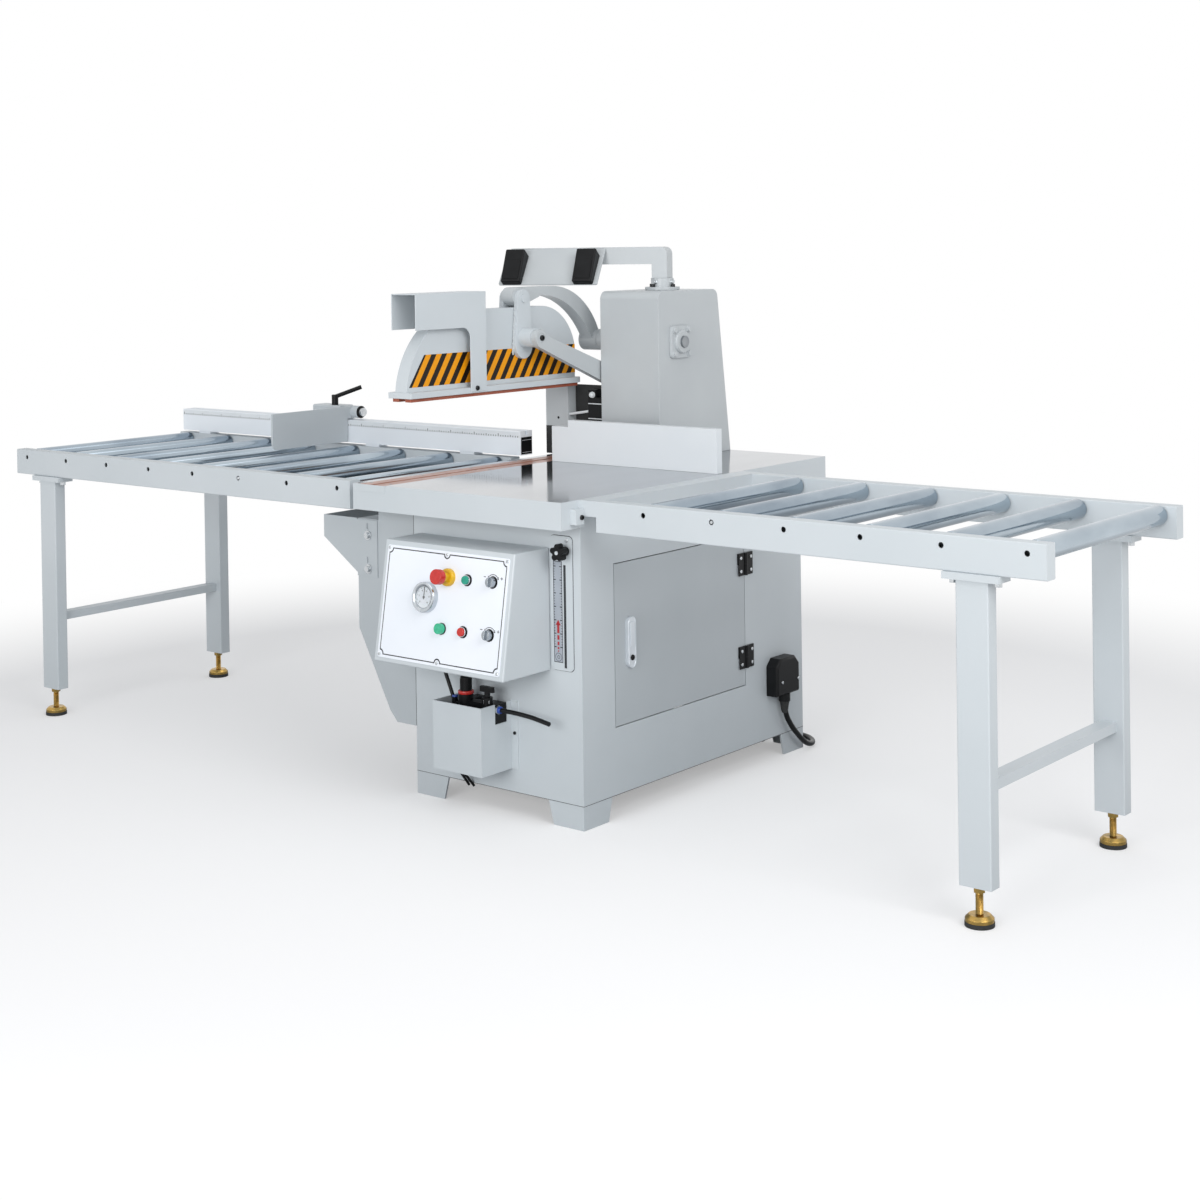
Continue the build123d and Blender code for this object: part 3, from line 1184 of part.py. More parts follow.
def lower_arm():
    """Flat lower link that keeps the hood level."""
    x = (LOWER_ARM_X0, LOWER_ARM_X1)
    front = (LINK_EYE[0], LINK_EYE[1] - LOWER_ARM_DROP)
    heel = (LINK_PIVOT[0], LINK_PIVOT[1] - LOWER_ARM_DROP)
    bar = strap_x(front, LOWER_ARM_END / 2, heel, LOWER_ARM_HEEL_D / 2, *x)
    bar += rod_x(*x, LINK_EYE, LOWER_ARM_EYE_D / 2)
    bar += rod_x(LOWER_ARM_X1 - LOWER_HUB_X, LOWER_ARM_X1, LINK_PIVOT, LOWER_HUB_D / 2)
    bar -= rod_x(*x, LINK_EYE, PIN_D / 2 + OPEN_PIVOT_GAP)
    return [bar - rod_x(LOWER_ARM_X1 - LOWER_HUB_X, LOWER_ARM_X1, LINK_PIVOT, STUD_D / 2 + RUNNING_GAP)]


def hood_profile(inset):
    """The hood's side outline in (y, z): a front arc, a level top, a rear arc and an upright rear wall."""
    y0 = HOOD_FRONT + HOOD_INSET + inset
    y1 = HOOD_FRONT + HOOD_LENGTH - HOOD_INSET - inset
    top = HOOD_TOP - inset
    base = FLANGE_UNDER if inset else FLANGE_TOP
    rise = top - FLANGE_TOP
    front_top, back_top = (y0 + HOOD_FRONT_ARC, top), (y1 - HOOD_BACK_ARC, top)
    front_middle = (y0 + HOOD_FRONT_ARC * 0.20, FLANGE_TOP + rise * 0.53)
    back_foot = (y1, FLANGE_TOP + HOOD_BACK_WALL)
    back_middle = (y1 - HOOD_BACK_ARC * 0.32, back_foot[1] + (top - back_foot[1]) * 0.70)
    edges = [
        Line((y0, base), (y0, FLANGE_TOP)) if inset else None,
        ThreePointArc((y0, FLANGE_TOP), front_middle, front_top),
        Line(front_top, back_top),
        ThreePointArc(back_top, back_middle, back_foot),
        Line(back_foot, (y1, base)),
        Line((y1, base), (y0, base)),
    ]
    return make_face([edge for edge in edges if edge])


def hood_shell():
    """Hollow sheet hood with its flange, hanging lugs, pins and the channel over its front."""
    half, flange_half = HOOD_WIDTH / 2, HOOD_FLANGE_X / 2
    y1 = HOOD_FRONT + HOOD_LENGTH
    outer = extrude(Plane.YZ.offset(BLADE_X - half) * hood_profile(0), HOOD_WIDTH)
    hollow = extrude(
        Plane.YZ.offset(BLADE_X - half + HOOD_SHEET) * hood_profile(HOOD_SHEET), HOOD_WIDTH - 2 * HOOD_SHEET
    )
    flange = block(BLADE_X - flange_half, BLADE_X + flange_half, HOOD_FRONT, y1, FLANGE_UNDER, FLANGE_TOP)
    rear_corners = flange.edges().filter_by(Axis.Z).sort_by(Axis.Y)[-2:]
    flange = fillet(rear_corners, HOOD_FLANGE_CORNER)
    shell = outer + flange - hollow
    lug_foot = (LINK_EYE[0] + LUG_FOOT_BACK, LINK_EYE[1] - LUG_FOOT_DROP)
    pieces = [shell]
    for sign in (-1, 1):
        inner, outside = BLADE_X + sign * half, BLADE_X + sign * LUG_X
        pieces.append(strap_x(EYE, LUG_TOP_R, lug_foot, LUG_FOOT_R, *sorted((inner, outside))))
    pieces[1] -= rod_x(BLADE_X - LUG_X, BLADE_X, EYE, PIN_D / 2)
    pieces[2] -= rod_x(BLADE_X, BLADE_X + LUG_X, EYE, PIN_D / 2)
    pin_half = LUG_X + PIN_HEAD
    pieces.append(rod_x(BLADE_X - pin_half, BLADE_X + pin_half, EYE, PIN_D / 2))
    boss_x = (BLADE_X + LUG_X, LOWER_ARM_X0 - CURVED_GAP)
    boss = rod_x(*boss_x, LINK_EYE, BOSS_D / 2)
    pieces.append(boss + rod_x(boss_x[1], LOWER_ARM_X1, LINK_EYE, PIN_D / 2))
    return pieces + hood_channel()


def hood_channel():
    """Folded channel over the hood's front, on two legs that are screwed to the flange."""
    inner = HOOD_FLANGE_X / 2
    outer = inner + CHANNEL_SHEET
    y0 = HOOD_FRONT + CHANNEL_FRONT
    y1 = y0 + CHANNEL_Y
    top = FLANGE_TOP + CHANNEL_ABOVE_FLANGE
    side_under = top - CHANNEL_SIDE_Z
    leg_y0 = y1 - CHANNEL_LEG_Y
    foot = FLANGE_UNDER + CHANNEL_FOOT_LIFT
    outline = [
        (y0, top), (y0, side_under), (leg_y0, side_under), (leg_y0, foot), (y1, foot), (y1, top)
    ]
    pieces = []
    for sign in (-1, 1):
        x = sorted((BLADE_X + sign * inner, BLADE_X + sign * outer))
        side = side_plate(outline, *x)
        corner = side.edges().filter_by(Axis.X).sort_by_distance((x[0], leg_y0, side_under))[0]
        pieces.append(fillet(corner, CHANNEL_CORNER_R))
    roof = block(BLADE_X - inner, BLADE_X + inner, y0, y1, top - CHANNEL_SHEET, top)
    return pieces + [roof]


def clamp_pad():
    """Wooden pressure pad under the flange: two strips with the blade slot between them."""
    y = (HOOD_FRONT + PAD_INSET, HOOD_FRONT + HOOD_LENGTH - PAD_INSET)
    z = (PAD_UNDER, FLANGE_UNDER)
    left = block(BLADE_X - PAD_X / 2, BLADE_X - PAD_SLOT / 2, *y, *z)
    right = block(BLADE_X + PAD_SLOT / 2, BLADE_X + PAD_X / 2, *y, *z)
    return [left, right]


ARM_X0 = CAB_X0 + SHEET + ARM_WALL_GAP
SAW_ARM_X0 = ARM_X0 + AXLE_PLATE_T + CURVED_GAP
SAW_ARM_X = (SAW_ARM_X0, SAW_ARM_X0 + SPINDLE_HOUSING_X)
PULLEY_X0 = SAW_ARM_X[1] + PULLEY_GAP
PULLEY_SPAN = (PULLEY_X0, PULLEY_X0 + PULLEY_X)
MOTOR_X0 = PULLEY_SPAN[1] + MOTOR_GAP
SHELF_TOP = SAW_PIVOT[1] - MOTOR_D / 2


def saw_arm():
    """Swinging saw arm: a hub on the fixed axle, a box beam, the spindle housing and the lifting plate."""
    beam_half = ARM_BEAM_Z / 2
    beam_x = (SAW_ARM_X[0] + ARM_BEAM_INSET, SAW_ARM_X[1] - ARM_BEAM_INSET)
    arm = strap_x(SAW_PIVOT, beam_half, SPINDLE, beam_half, *beam_x)
    arm += rod_x(*SAW_ARM_X, SAW_PIVOT, SAW_HUB_D / 2)
    arm += rod_x(*SAW_ARM_X, SPINDLE, SPINDLE_HOUSING_D / 2)
    arm -= rod_x(*SAW_ARM_X, SAW_PIVOT, SAW_AXLE_D / 2 + RUNNING_GAP)
    arm -= rod_x(*SAW_ARM_X, SPINDLE, SPINDLE_D / 2 + RUNNING_GAP)
    pin = lift_pin_place()
    fork_y = FORK_HALF_Y + ARM_BEAM_Z / 2
    room_y = (pin[0] - fork_y, pin[0] + fork_y)
    arm -= block(*beam_x, *room_y, pin[1] - ARM_BEAM_Z, pin[1] + ARM_BEAM_Z)
    x = (LIFT_X - CRANK_T / 2, LIFT_X + CRANK_T / 2)
    plate = strap_x(SAW_PIVOT, beam_half, SPINDLE, beam_half, *x)
    plate -= rod_x(*x, SAW_PIVOT, SAW_HUB_D / 2 - 1) + rod_x(*x, SPINDLE, SPINDLE_HOUSING_D / 2 - 1)
    slot_half = CRANK_PIN_D / 2 + SLOT_PLAY
    heading = Vector(math.cos(SAW_HALF_SWING), math.sin(SAW_HALF_SWING))
    inner = (pin[0] + heading.X * slot_half, pin[1] + heading.Y * slot_half)
    outer = (pin[0] - heading.X * slot_half, pin[1] - heading.Y * slot_half)
    plate -= strap_x(inner, slot_half, outer, slot_half, *x)
    return [arm + plate]


def spindle():
    """Spindle with its pulley, and the blade's two flanges and nut."""
    blade_x = (BLADE_X - BLADE_T / 2, BLADE_X + BLADE_T / 2)
    flange_t = BLADE_FLANGE_T
    nut_x0 = blade_x[0] - flange_t - SPINDLE_NUT_X
    shaft = rod_x(blade_x[1] + flange_t, PULLEY_SPAN[1] + MOTOR_GAP / 3, SPINDLE, SPINDLE_D / 2)
    shaft += rod_x(nut_x0, blade_x[1] + flange_t, SPINDLE, BLADE_BORE / 2)
    inner = rod_x(blade_x[1], blade_x[1] + flange_t, SPINDLE, BLADE_FLANGE_D / 2)
    outer = rod_x(blade_x[0] - flange_t, blade_x[0], SPINDLE, BLADE_FLANGE_D / 2)
    hexagon = RegularPolygon(BLADE_BORE * 0.8, 6, major_radius=False)
    nut = extrude(Plane.YZ.offset(nut_x0) * Pos(*SPINDLE) * hexagon, SPINDLE_NUT_X)
    bore = rod_x(nut_x0, blade_x[1] + flange_t, SPINDLE, BLADE_BORE / 2)
    pulley = rod_x(*PULLEY_SPAN, SPINDLE, SPINDLE_PULLEY_D / 2) - rod_x(*PULLEY_SPAN, SPINDLE, SPINDLE_D / 2)
    return [shaft, inner - bore, outer - bore, nut - bore, pulley]


def saw_blade():
    """Circular blade with its bore and raked teeth."""
    root = BLADE_R - BLADE_GULLET
    tooth = ((0.0, BLADE_R), (0.35, BLADE_R - 1), (0.6, root), (0.92, root + BLADE_GULLET * 0.3))
    points = []
    for index in range(BLADE_TEETH):
        for part, radius in tooth:
            angle = 2 * math.pi * (index + part) / BLADE_TEETH
            points.append((SPINDLE[0] + radius * math.cos(angle), SPINDLE[1] + radius * math.sin(angle)))
    x = (BLADE_X - BLADE_T / 2, BLADE_X + BLADE_T / 2)
    return [side_plate(points, *x) - rod_x(*x, SPINDLE, BLADE_BORE / 2)]


def drive_belt():
    """Flat belt from the motor's pulley to the spindle's pulley."""
    inner = (MOTOR_PULLEY_D / 2 + BELT_GAP, SPINDLE_PULLEY_D / 2 + BELT_GAP)
    x = (PULLEY_SPAN[0] + BELT_T / 2, PULLEY_SPAN[1] - BELT_T / 2)
    loop = strap_x(SAW_PIVOT, inner[0] + BELT_T, SPINDLE, inner[1] + BELT_T, *x)
    return [loop - strap_x(SAW_PIVOT, inner[0], SPINDLE, inner[1], *x)]


def motor_pulley():
    """The motor's shaft and its pulley."""
    shaft_r = MOTOR_SHAFT_D / 2
    pulley = rod_x(*PULLEY_SPAN, SAW_PIVOT, MOTOR_PULLEY_D / 2) - rod_x(*PULLEY_SPAN, SAW_PIVOT, shaft_r)
    return [rod_x(PULLEY_SPAN[0], MOTOR_X0 + MOTOR_SHAFT_IN, SAW_PIVOT, shaft_r), pulley]


def motor():
    """Motor on its shelf, the saw arm's fixed axle and its two bracket plates."""
    x = (MOTOR_X0, MOTOR_X0 + MOTOR_X)
    pivot_y, pivot_z = SAW_PIVOT
    body_r = MOTOR_D / 2 - MOTOR_FIN_Z
    body = rod_x(*x, SAW_PIVOT, body_r)
    fin_x = (x[0] + MOTOR_FIN_T * 3, x[1] - MOTOR_FIN_T * 5)
    for index in range(MOTOR_FINS):
        turn = Pos(0, *SAW_PIVOT) * Rot(360 * index / MOTOR_FINS, 0, 0)
        body += turn * block(*fin_x, -MOTOR_FIN_T / 2, MOTOR_FIN_T / 2, body_r * 0.9, MOTOR_D / 2)
    body -= rod_x(x[0], x[0] + MOTOR_SHAFT_IN + ROD_END_ROOM, SAW_PIVOT, MOTOR_SHAFT_D / 2 + RUNNING_GAP)
    foot_y = MOTOR_D * 0.45
    feet = block(*fin_x, pivot_y - foot_y, pivot_y + foot_y, SHELF_TOP, SHELF_TOP + MOTOR_D * 0.1)
    terminal_x = (x[0] + MOTOR_SHAFT_IN, x[0] + MOTOR_SHAFT_IN + TERMINAL_X)
    terminal_y = (pivot_y + MOTOR_D * 0.4, pivot_y + MOTOR_D * 0.4 + TERMINAL_Y)
    terminal = block(*terminal_x, *terminal_y, pivot_z - TERMINAL_Z / 2, pivot_z + TERMINAL_Z / 2)
    shelf_y = (pivot_y - SHELF_Y / 2, pivot_y + SHELF_Y / 2)
    shelf = block(CAB_X0 + SHEET, CAB_X1 - SHEET, *shelf_y, SHELF_TOP - SHELF_Z, SHELF_TOP)
    pieces = [body + feet + terminal, shelf]
    plate_half = SAW_HUB_D / 2
    plate_y = (pivot_y - plate_half, pivot_y + plate_half)
    far_x0 = SAW_ARM_X[1] + CURVED_GAP
    for x0 in (ARM_X0, far_x0):
        plate = block(x0, x0 + AXLE_PLATE_T, *plate_y, SHELF_TOP, pivot_z)
        plate += rod_x(x0, x0 + AXLE_PLATE_T, SAW_PIVOT, plate_half)
        pieces.append(plate - rod_x(x0, x0 + AXLE_PLATE_T, SAW_PIVOT, SAW_AXLE_D / 2))
    pieces.append(rod_x(ARM_X0, far_x0 + AXLE_PLATE_T, SAW_PIVOT, SAW_AXLE_D / 2))
    return pieces


COLLAR_TOP = COLUMN_TOP + SWIVEL_COLLAR_Z
POST_FOOT = COLLAR_TOP + CURVED_GAP
POST_TOP = POST_FOOT + POST_Z
BOOM_TOP = POST_TOP + BOOM_Z
BOOM_FRAME = Pos(*SWIVEL, 0) * Rot(0, 0, BOOM_HEADING)


def console_frame():
    """The console plate's own frame: x along the boom, y up the plate, z out to the operator."""
    tilt = math.radians(CONSOLE_TILT)
    up = Vector(0, -math.sin(tilt), math.cos(tilt))
    out = Vector(0, math.cos(tilt), math.sin(tilt))
    top_z = BOOM_TOP - CONSOLE_DROP
    top_edge = Vector(CONSOLE_START + CONSOLE_LENGTH / 2, POST_SIDE / 2 + CONSOLE_T / 2, top_z)
    return Plane(top_edge - up * (CONSOLE_H / 2), x_dir=(-1, 0, 0), z_dir=out)


PALM_OFFSET = (CONSOLE_LENGTH - PALM_X) / 2 - PALM_MARGIN


def palm_foot(side):
    """The middle of a palm switch's base on the console plate's face."""
    frame = console_frame()
    on_face = frame.origin + frame.z_dir * (CONSOLE_T / 2)
    return on_face + frame.x_dir * (side * PALM_OFFSET) - frame.y_dir * PALM_DROP


def palm_front(side, height):
    """The plane of a palm switch's sloping front at its press plate, raised by a height."""
    frame = console_frame()
    slope = Vector(PALM_H, PALM_DEEP_TOP - PALM_DEEP_FOOT).normalized()
    along = frame.y_dir * slope.X + frame.z_dir * slope.Y
    normal = frame.z_dir * slope.X - frame.y_dir * slope.Y
    middle = palm_foot(side) + frame.z_dir * ((PALM_DEEP_TOP + PALM_DEEP_FOOT) / 2)
    return Plane(middle - along * PALM_PLATE_DROP + normal * height, x_dir=frame.x_dir, z_dir=normal)


def palm_plate(side, height, gap, thickness):
    """The press plate's shape, grown by a gap."""
    outline = RectangleRounded(PALM_PLATE_X + 2 * gap, PALM_PLATE_H + 2 * gap, PALM_ROUND + gap)
    return extrude(palm_front(side, height) * outline, thickness)


def palm_case(side):
    """A palm switch's housing: a wedge that stands out furthest at its top, with the press plate's pocket."""
    frame = console_frame()
    foot = palm_foot(side)
    half = PALM_H / 2
    profile = Polyline((-half, 0), (half, 0), (half, PALM_DEEP_TOP), (-half, PALM_DEEP_FOOT), close=True)
    plane = Plane(foot - frame.x_dir * (PALM_X / 2), x_dir=frame.y_dir, z_dir=frame.x_dir)
    wedge = extrude(plane * make_face(profile), PALM_X)
    free_edges = [edge for edge in wedge.edges() if (edge.center() - foot).dot(frame.z_dir) > 1]
    depth = PALM_PLATE_T + PALM_TRAVEL
    return fillet(free_edges, PALM_ROUND) - palm_plate(side, -depth, BUTTON_GAP, depth + PALM_ROUND)


def control_arm():
    """Swivelling boom with the tilted console plate and the two palm switch housings."""
    spigot = rod_z(0, 0, COLUMN_TOP + SPIGOT_CLEAR, POST_FOOT, SPIGOT_D / 2)
    half = POST_SIDE / 2
    boom = block(half, BOOM_LENGTH, -half, half, POST_TOP, BOOM_TOP)
    elbow = block(-half, half, -half, half, POST_FOOT, BOOM_TOP) + boom
    corner = elbow.edges().filter_by(Axis.Y).sort_by_distance((-half, 0, BOOM_TOP))[0]
    outline = RectangleRounded(CONSOLE_LENGTH, CONSOLE_H, PALM_ROUND)
    plate = extrude(console_frame() * outline, CONSOLE_T / 2, both=True)
    arm = spigot + fillet(corner, POST_ROUND) + (plate - boom)
    lean = (BOOM_TOP - CONSOLE_DROP - POST_TOP) * math.tan(math.radians(CONSOLE_TILT))
    gusset = [(half, BOOM_TOP - CONSOLE_DROP), (half, POST_TOP), (half + lean, POST_TOP)]
    for x in (CONSOLE_START + GUSSET_INSET, CONSOLE_START + CONSOLE_LENGTH - GUSSET_INSET):
        arm += side_plate(gusset, x - GUSSET_T / 2, x + GUSSET_T / 2)
    return [BOOM_FRAME * piece for piece in (arm, palm_case(-1), palm_case(1))]


def palm_switch(side):
    """A palm switch's press plate, standing a little out of its housing."""
    return [BOOM_FRAME * palm_plate(side, PALM_PROUD - PALM_PLATE_T, 0, PALM_PLATE_T)]


def panel_place(name, height=0.0):
    """The plane of a fitting on the control panel, raised by a height from the plate's face."""
    x, up = PANEL_PLACES[name]
    foot = Vector(CAB_X0 + BOX_X0 + x, CAB_FRONT - BOX_BOTTOM_Y, BOX_UNDER)
    origin = foot + PANEL_UP * up + PANEL_OUT * (PANEL_T + height)
    return Plane(origin, x_dir=(1, 0, 0), z_dir=PANEL_OUT)


def ring(plane, outer_d, inner_d, height):
    """A round collar standing on a plane."""
    return extrude(plane * (Circle(outer_d / 2) - Circle(inner_d / 2)), height)


GAUGE_FACE = GAUGE_H - GAUGE_WELL
STAR_PLACE = (CAB_X1 - STAR_FROM_SIDE, TABLE_UNDER - SCALE_TOP_DROP - STAR_DROP)


def front_plates():
    """The panel plate with its collars, lamp and gauge case, and the scale plate beside the box."""
    foot = Vector(CAB_X0 + BOX_X0 + BOX_X / 2, CAB_FRONT - BOX_BOTTOM_Y, BOX_UNDER)
    centre = foot + PANEL_UP * (PANEL_SLOPE / 2)
    plate_plane = Plane(centre, x_dir=(1, 0, 0), z_dir=PANEL_OUT)
    size = (BOX_X - 2 * PANEL_MARGIN, PANEL_SLOPE - 2 * PANEL_MARGIN)
    plate = extrude(plate_plane * RectangleRounded(*size, PANEL_ROUND), PANEL_T)
    collar = ring(panel_place("emergency_stop"), STOP_COLLAR_D, BUTTON_D, STOP_COLLAR_H)
    neck_h = STOP_NECK_H - STOP_COLLAR_H
    neck = ring(panel_place("emergency_stop", STOP_COLLAR_H), BEZEL_D, BUTTON_D, neck_h)
    pieces = [plate, collar + neck]
    for name in ("start_button", "stop_button"):
        pieces.append(ring(panel_place(name), BEZEL_D, BUTTON_D + 2 * BUTTON_GAP, BEZEL_H))
    for name in ("feed_knob", "return_knob"):
        pieces.append(extrude(panel_place(name) * Circle(KNOB_STUD_D / 2), KNOB_H / 2))
    pieces.append(extrude(panel_place("lamp") * Circle(LAMP_D / 2), LAMP_H))
    case = extrude(panel_place("gauge") * Circle(GAUGE_D / 2), GAUGE_H)
    face = panel_place("gauge", GAUGE_FACE)
    case -= extrude(face * Circle(GAUGE_D / 2 - GAUGE_WALL), GAUGE_WELL)
    pieces.append(case + extrude(face * Circle(NEEDLE_STAFF_D / 2), GAUGE_WELL / 2))
    x1 = CAB_X1 - SCALE_SIDE
    top = TABLE_UNDER - SCALE_TOP_DROP
    face_y = CAB_FRONT - SCALE_T
    scale = block(x1 - SCALE_X, x1, face_y, CAB_FRONT, top - SCALE_Z, top)
    scale = fillet(scale.edges().filter_by(Axis.Y), SCALE_CORNER)
    slot_x = (x1 - SCALE_SIDE - SCALE_SLOT_X / 2, x1 - SCALE_SIDE + SCALE_SLOT_X / 2)
    scale -= block(*slot_x, face_y, CAB_FRONT, top - SCALE_Z + SCALE_SLOT_FOOT, top - SCALE_SLOT_HEAD)
    stud_y = face_y - STAR_NECK - STAR_H - PANEL_T
    stud = rod_y(STAR_PLACE[0], stud_y, face_y, STAR_PLACE[1], KNOB_STUD_D / 2)
    pieces.append(scale + stud)
    return pieces


def emergency_stop():
    """Mushroom head of the emergency stop, on a stem in its collar."""
    lift = STOP_TRAVEL + 1
    stem = extrude(panel_place("emergency_stop", lift) * Circle(BUTTON_D / 2 - BUTTON_GAP), STOP_NECK_H)
    head = extrude(panel_place("emergency_stop", lift + STOP_NECK_H) * Circle(STOP_HEAD_D / 2), STOP_HEAD_H)
    return [stem + head]


def push_button(name):
    """A round push button, standing a little out of its collar."""
    return [extrude(panel_place(name, BUTTON_TRAVEL + 1) * Circle(BUTTON_D / 2), BEZEL_H)]


def panel_knob(name):
    """A turning knob on a fixed stud."""
    body = extrude(panel_place(name, CURVED_GAP) * Circle(KNOB_D / 2), KNOB_H)
    bore = extrude(panel_place(name, CURVED_GAP) * Circle(KNOB_STUD_D / 2 + RUNNING_GAP), KNOB_H / 2)
    pointer = panel_place(name, CURVED_GAP + KNOB_H) * Rectangle(KNOB_POINTER, KNOB_D * 0.9)
    return [body - bore + extrude(pointer, KNOB_POINTER_H)]


def gauge_needle():
    """The gauge's needle on its staff."""
    plane = panel_place("gauge", GAUGE_FACE + NEEDLE_T)
    hub = plane * Circle(NEEDLE_HUB_D / 2)
    blade = plane * Pos(0, GAUGE_D * 0.14) * Rectangle(NEEDLE_W, GAUGE_D * 0.42)
    bore = plane * Circle(NEEDLE_STAFF_D / 2 + RUNNING_GAP)
    return [extrude(hub + blade, NEEDLE_T) - extrude(bore, NEEDLE_T)]


def star_knob():
    """Lobed hand knob with its neck, on the scale plate's stud."""
    neck_y = CAB_FRONT - SCALE_T - CURVED_GAP
    y1 = neck_y - STAR_NECK
    y0 = y1 - STAR_H
    hub_r = STAR_D * 0.33
    knob = rod_y(STAR_PLACE[0], y0, y1, STAR_PLACE[1], hub_r)
    knob += rod_y(STAR_PLACE[0], y1, neck_y, STAR_PLACE[1], STAR_NECK_D / 2)
    for index in range(STAR_LOBES):
        angle = math.pi / 2 + 2 * math.pi * index / STAR_LOBES
        x = STAR_PLACE[0] + hub_r * math.cos(angle)
        z = STAR_PLACE[1] + hub_r * math.sin(angle)
        knob += rod_y(x, y0, y1, z, STAR_D / 2 - hub_r)
    return [knob - rod_y(STAR_PLACE[0], y0, neck_y, STAR_PLACE[1], KNOB_STUD_D / 2 + RUNNING_GAP)]


BIN_X1 = CAB_X1 - BIN_RIGHT
BIN_X0 = BIN_X1 - BIN_X
BIN_TOP = BOX_UNDER - BIN_BELOW_BOX
BIN_FRONT = CAB_FRONT - BIN_Y
REGULATOR = (BIN_X0 + REGULATOR_FROM_LEFT, CAB_FRONT - AIR_LINE_Y)
VALVE = (BIN_X0 + VALVE_FROM_LEFT, CAB_FRONT - AIR_LINE_Y)
FITTING_Z = BIN_TOP - FITTING_DROP
AIR_NECK = BIN_TOP + AIR_NECK_Z
HOSE_START = (BIN_X1 + FITTING_OUT, VALVE[1], FITTING_Z)


def air_unit():
    """Open-topped sheet bin that guards the filter regulator and the shut-off valve, with their tubes."""
    bin_under = BIN_TOP - BIN_Z
    inner_x = (BIN_X0 + BIN_SHEET, BIN_X1 - BIN_SHEET)
    inner_y = (BIN_FRONT + BIN_SHEET, CAB_FRONT)
    half = AIR_BLOCK / 2
    notch_y = (CAB_FRONT - BIN_NOTCH_FRONT, CAB_FRONT - BIN_NOTCH_BACK)
    pieces = [
        block(BIN_X0, BIN_X1, BIN_FRONT, inner_y[0], bin_under, BIN_TOP),
        block(BIN_X0, inner_x[0], *inner_y, bin_under, BIN_TOP),
        block(inner_x[1], BIN_X1, *inner_y, bin_under, BIN_TOP)
        - block(inner_x[1], BIN_X1, *notch_y, BIN_TOP - BIN_NOTCH_Z, BIN_TOP),
        block(*inner_x, *inner_y, bin_under, bin_under + BIN_SHEET),
        block(BIN_X1, BIN_X1 + BIN_FLANGE, CAB_FRONT - BIN_SHEET, CAB_FRONT, bin_under, BIN_TOP),
    ]
    x, y = REGULATOR
    block_z = (FITTING_Z - half, FITTING_Z + half)
    bowl = rod_z(x, y, bin_under + BIN_SHEET, block_z[0], FILTER_D / 2)
    body = rod_z(x, y, block_z[0], AIR_NECK, REGULATOR_D / 2)
    spine = block(x, VALVE[0], y - half, y + half, *block_z)
    valve = rod_z(*VALVE, block_z[0], AIR_NECK, VALVE_D / 2)
    valve += block(
        VALVE[0] - VALVE_D / 2, inner_x[1], notch_y[0] - BIN_SHEET, notch_y[1] + BIN_SHEET,
        BIN_TOP - BIN_NOTCH_Z - BIN_SHEET, BIN_TOP - BIN_SHEET,
    )
    back = block(x - half, x + half, y, CAB_FRONT, *block_z)
    outlet = rod_x(VALVE[0], HOSE_START[0], (VALVE[1], FITTING_Z), HOSE_D * 0.6)
    feed_x, feed_r = BIN_X0 + FEED_TUBE_FROM_LEFT, FEED_TUBE_D / 2
    feed_run = BOX_UNDER - FITTING_Z + FEED_TUBE_D
    feed_foot = (feed_x, y, FITTING_Z)
    feed_head = (feed_x - feed_run * math.tan(math.radians(FEED_TUBE_LEAN)), y, FITTING_Z + feed_run)
    feed = rod_between(feed_foot, feed_head, feed_r)
    feed -= block(BIN_X0 - feed_run, BIN_X1, y - feed_r, y + feed_r, BOX_UNDER, BOX_UNDER + 2 * feed_run)
    feed += rod_z(feed_x, y, block_z[0], block_z[1], FEED_FITTING_D / 2)
    feed += rod_x(feed_x, x, (y, FITTING_Z), feed_r)
    pieces.append(bowl + body + spine + valve + back + outlet + feed)
    drain_x = BIN_X0 + DRAIN_FROM_LEFT
    for offset in (-DRAIN_PITCH / 2, DRAIN_PITCH / 2):
        start = Vector(drain_x + offset, y, bin_under)
        under_cab = Vector(drain_x + 2 * offset, CAB_FRONT, CAB_CLEAR - DRAIN_D)
        run = (under_cab - start).normalized()
        drain = rod_between(tuple(start - run * DRAIN_D), tuple(under_cab + run * DRAIN_TAIL), DRAIN_D / 2)
        top = bin_under + 2 * DRAIN_D
        pieces.append(drain - block(BIN_X0, BIN_X1, BIN_FRONT, CAB_FRONT, bin_under, top))
    return pieces


def regulator_knob():
    """Turning knob on top of the regulator."""
    z0 = AIR_NECK + CURVED_GAP
    knob = rod_z(*REGULATOR, z0, z0 + REGULATOR_KNOB_Z, REGULATOR_KNOB_D / 2)
    return [chamfer(knob.edges().filter_by(GeomType.CIRCLE), REGULATOR_KNOB_D * 0.07)]


def air_valve_lever():
    """T-shaped handle of the shut-off valve."""
    z0 = AIR_NECK + CURVED_GAP
    x, y = VALVE
    half_x, half_y = VALVE_BAR_X / 2, VALVE_BAR_Y / 2
    bar = block(x - half_x, x + half_x, y - half_y, y + half_y, z0 + VALVE_BAR_Y, z0 + 2 * VALVE_BAR_Y)
    bar = fillet(bar.edges().filter_by(Axis.Z), half_y - 1)
    return [bar + rod_z(x, y, z0, z0 + VALVE_BAR_Y, VALVE_STEM_D / 2)]


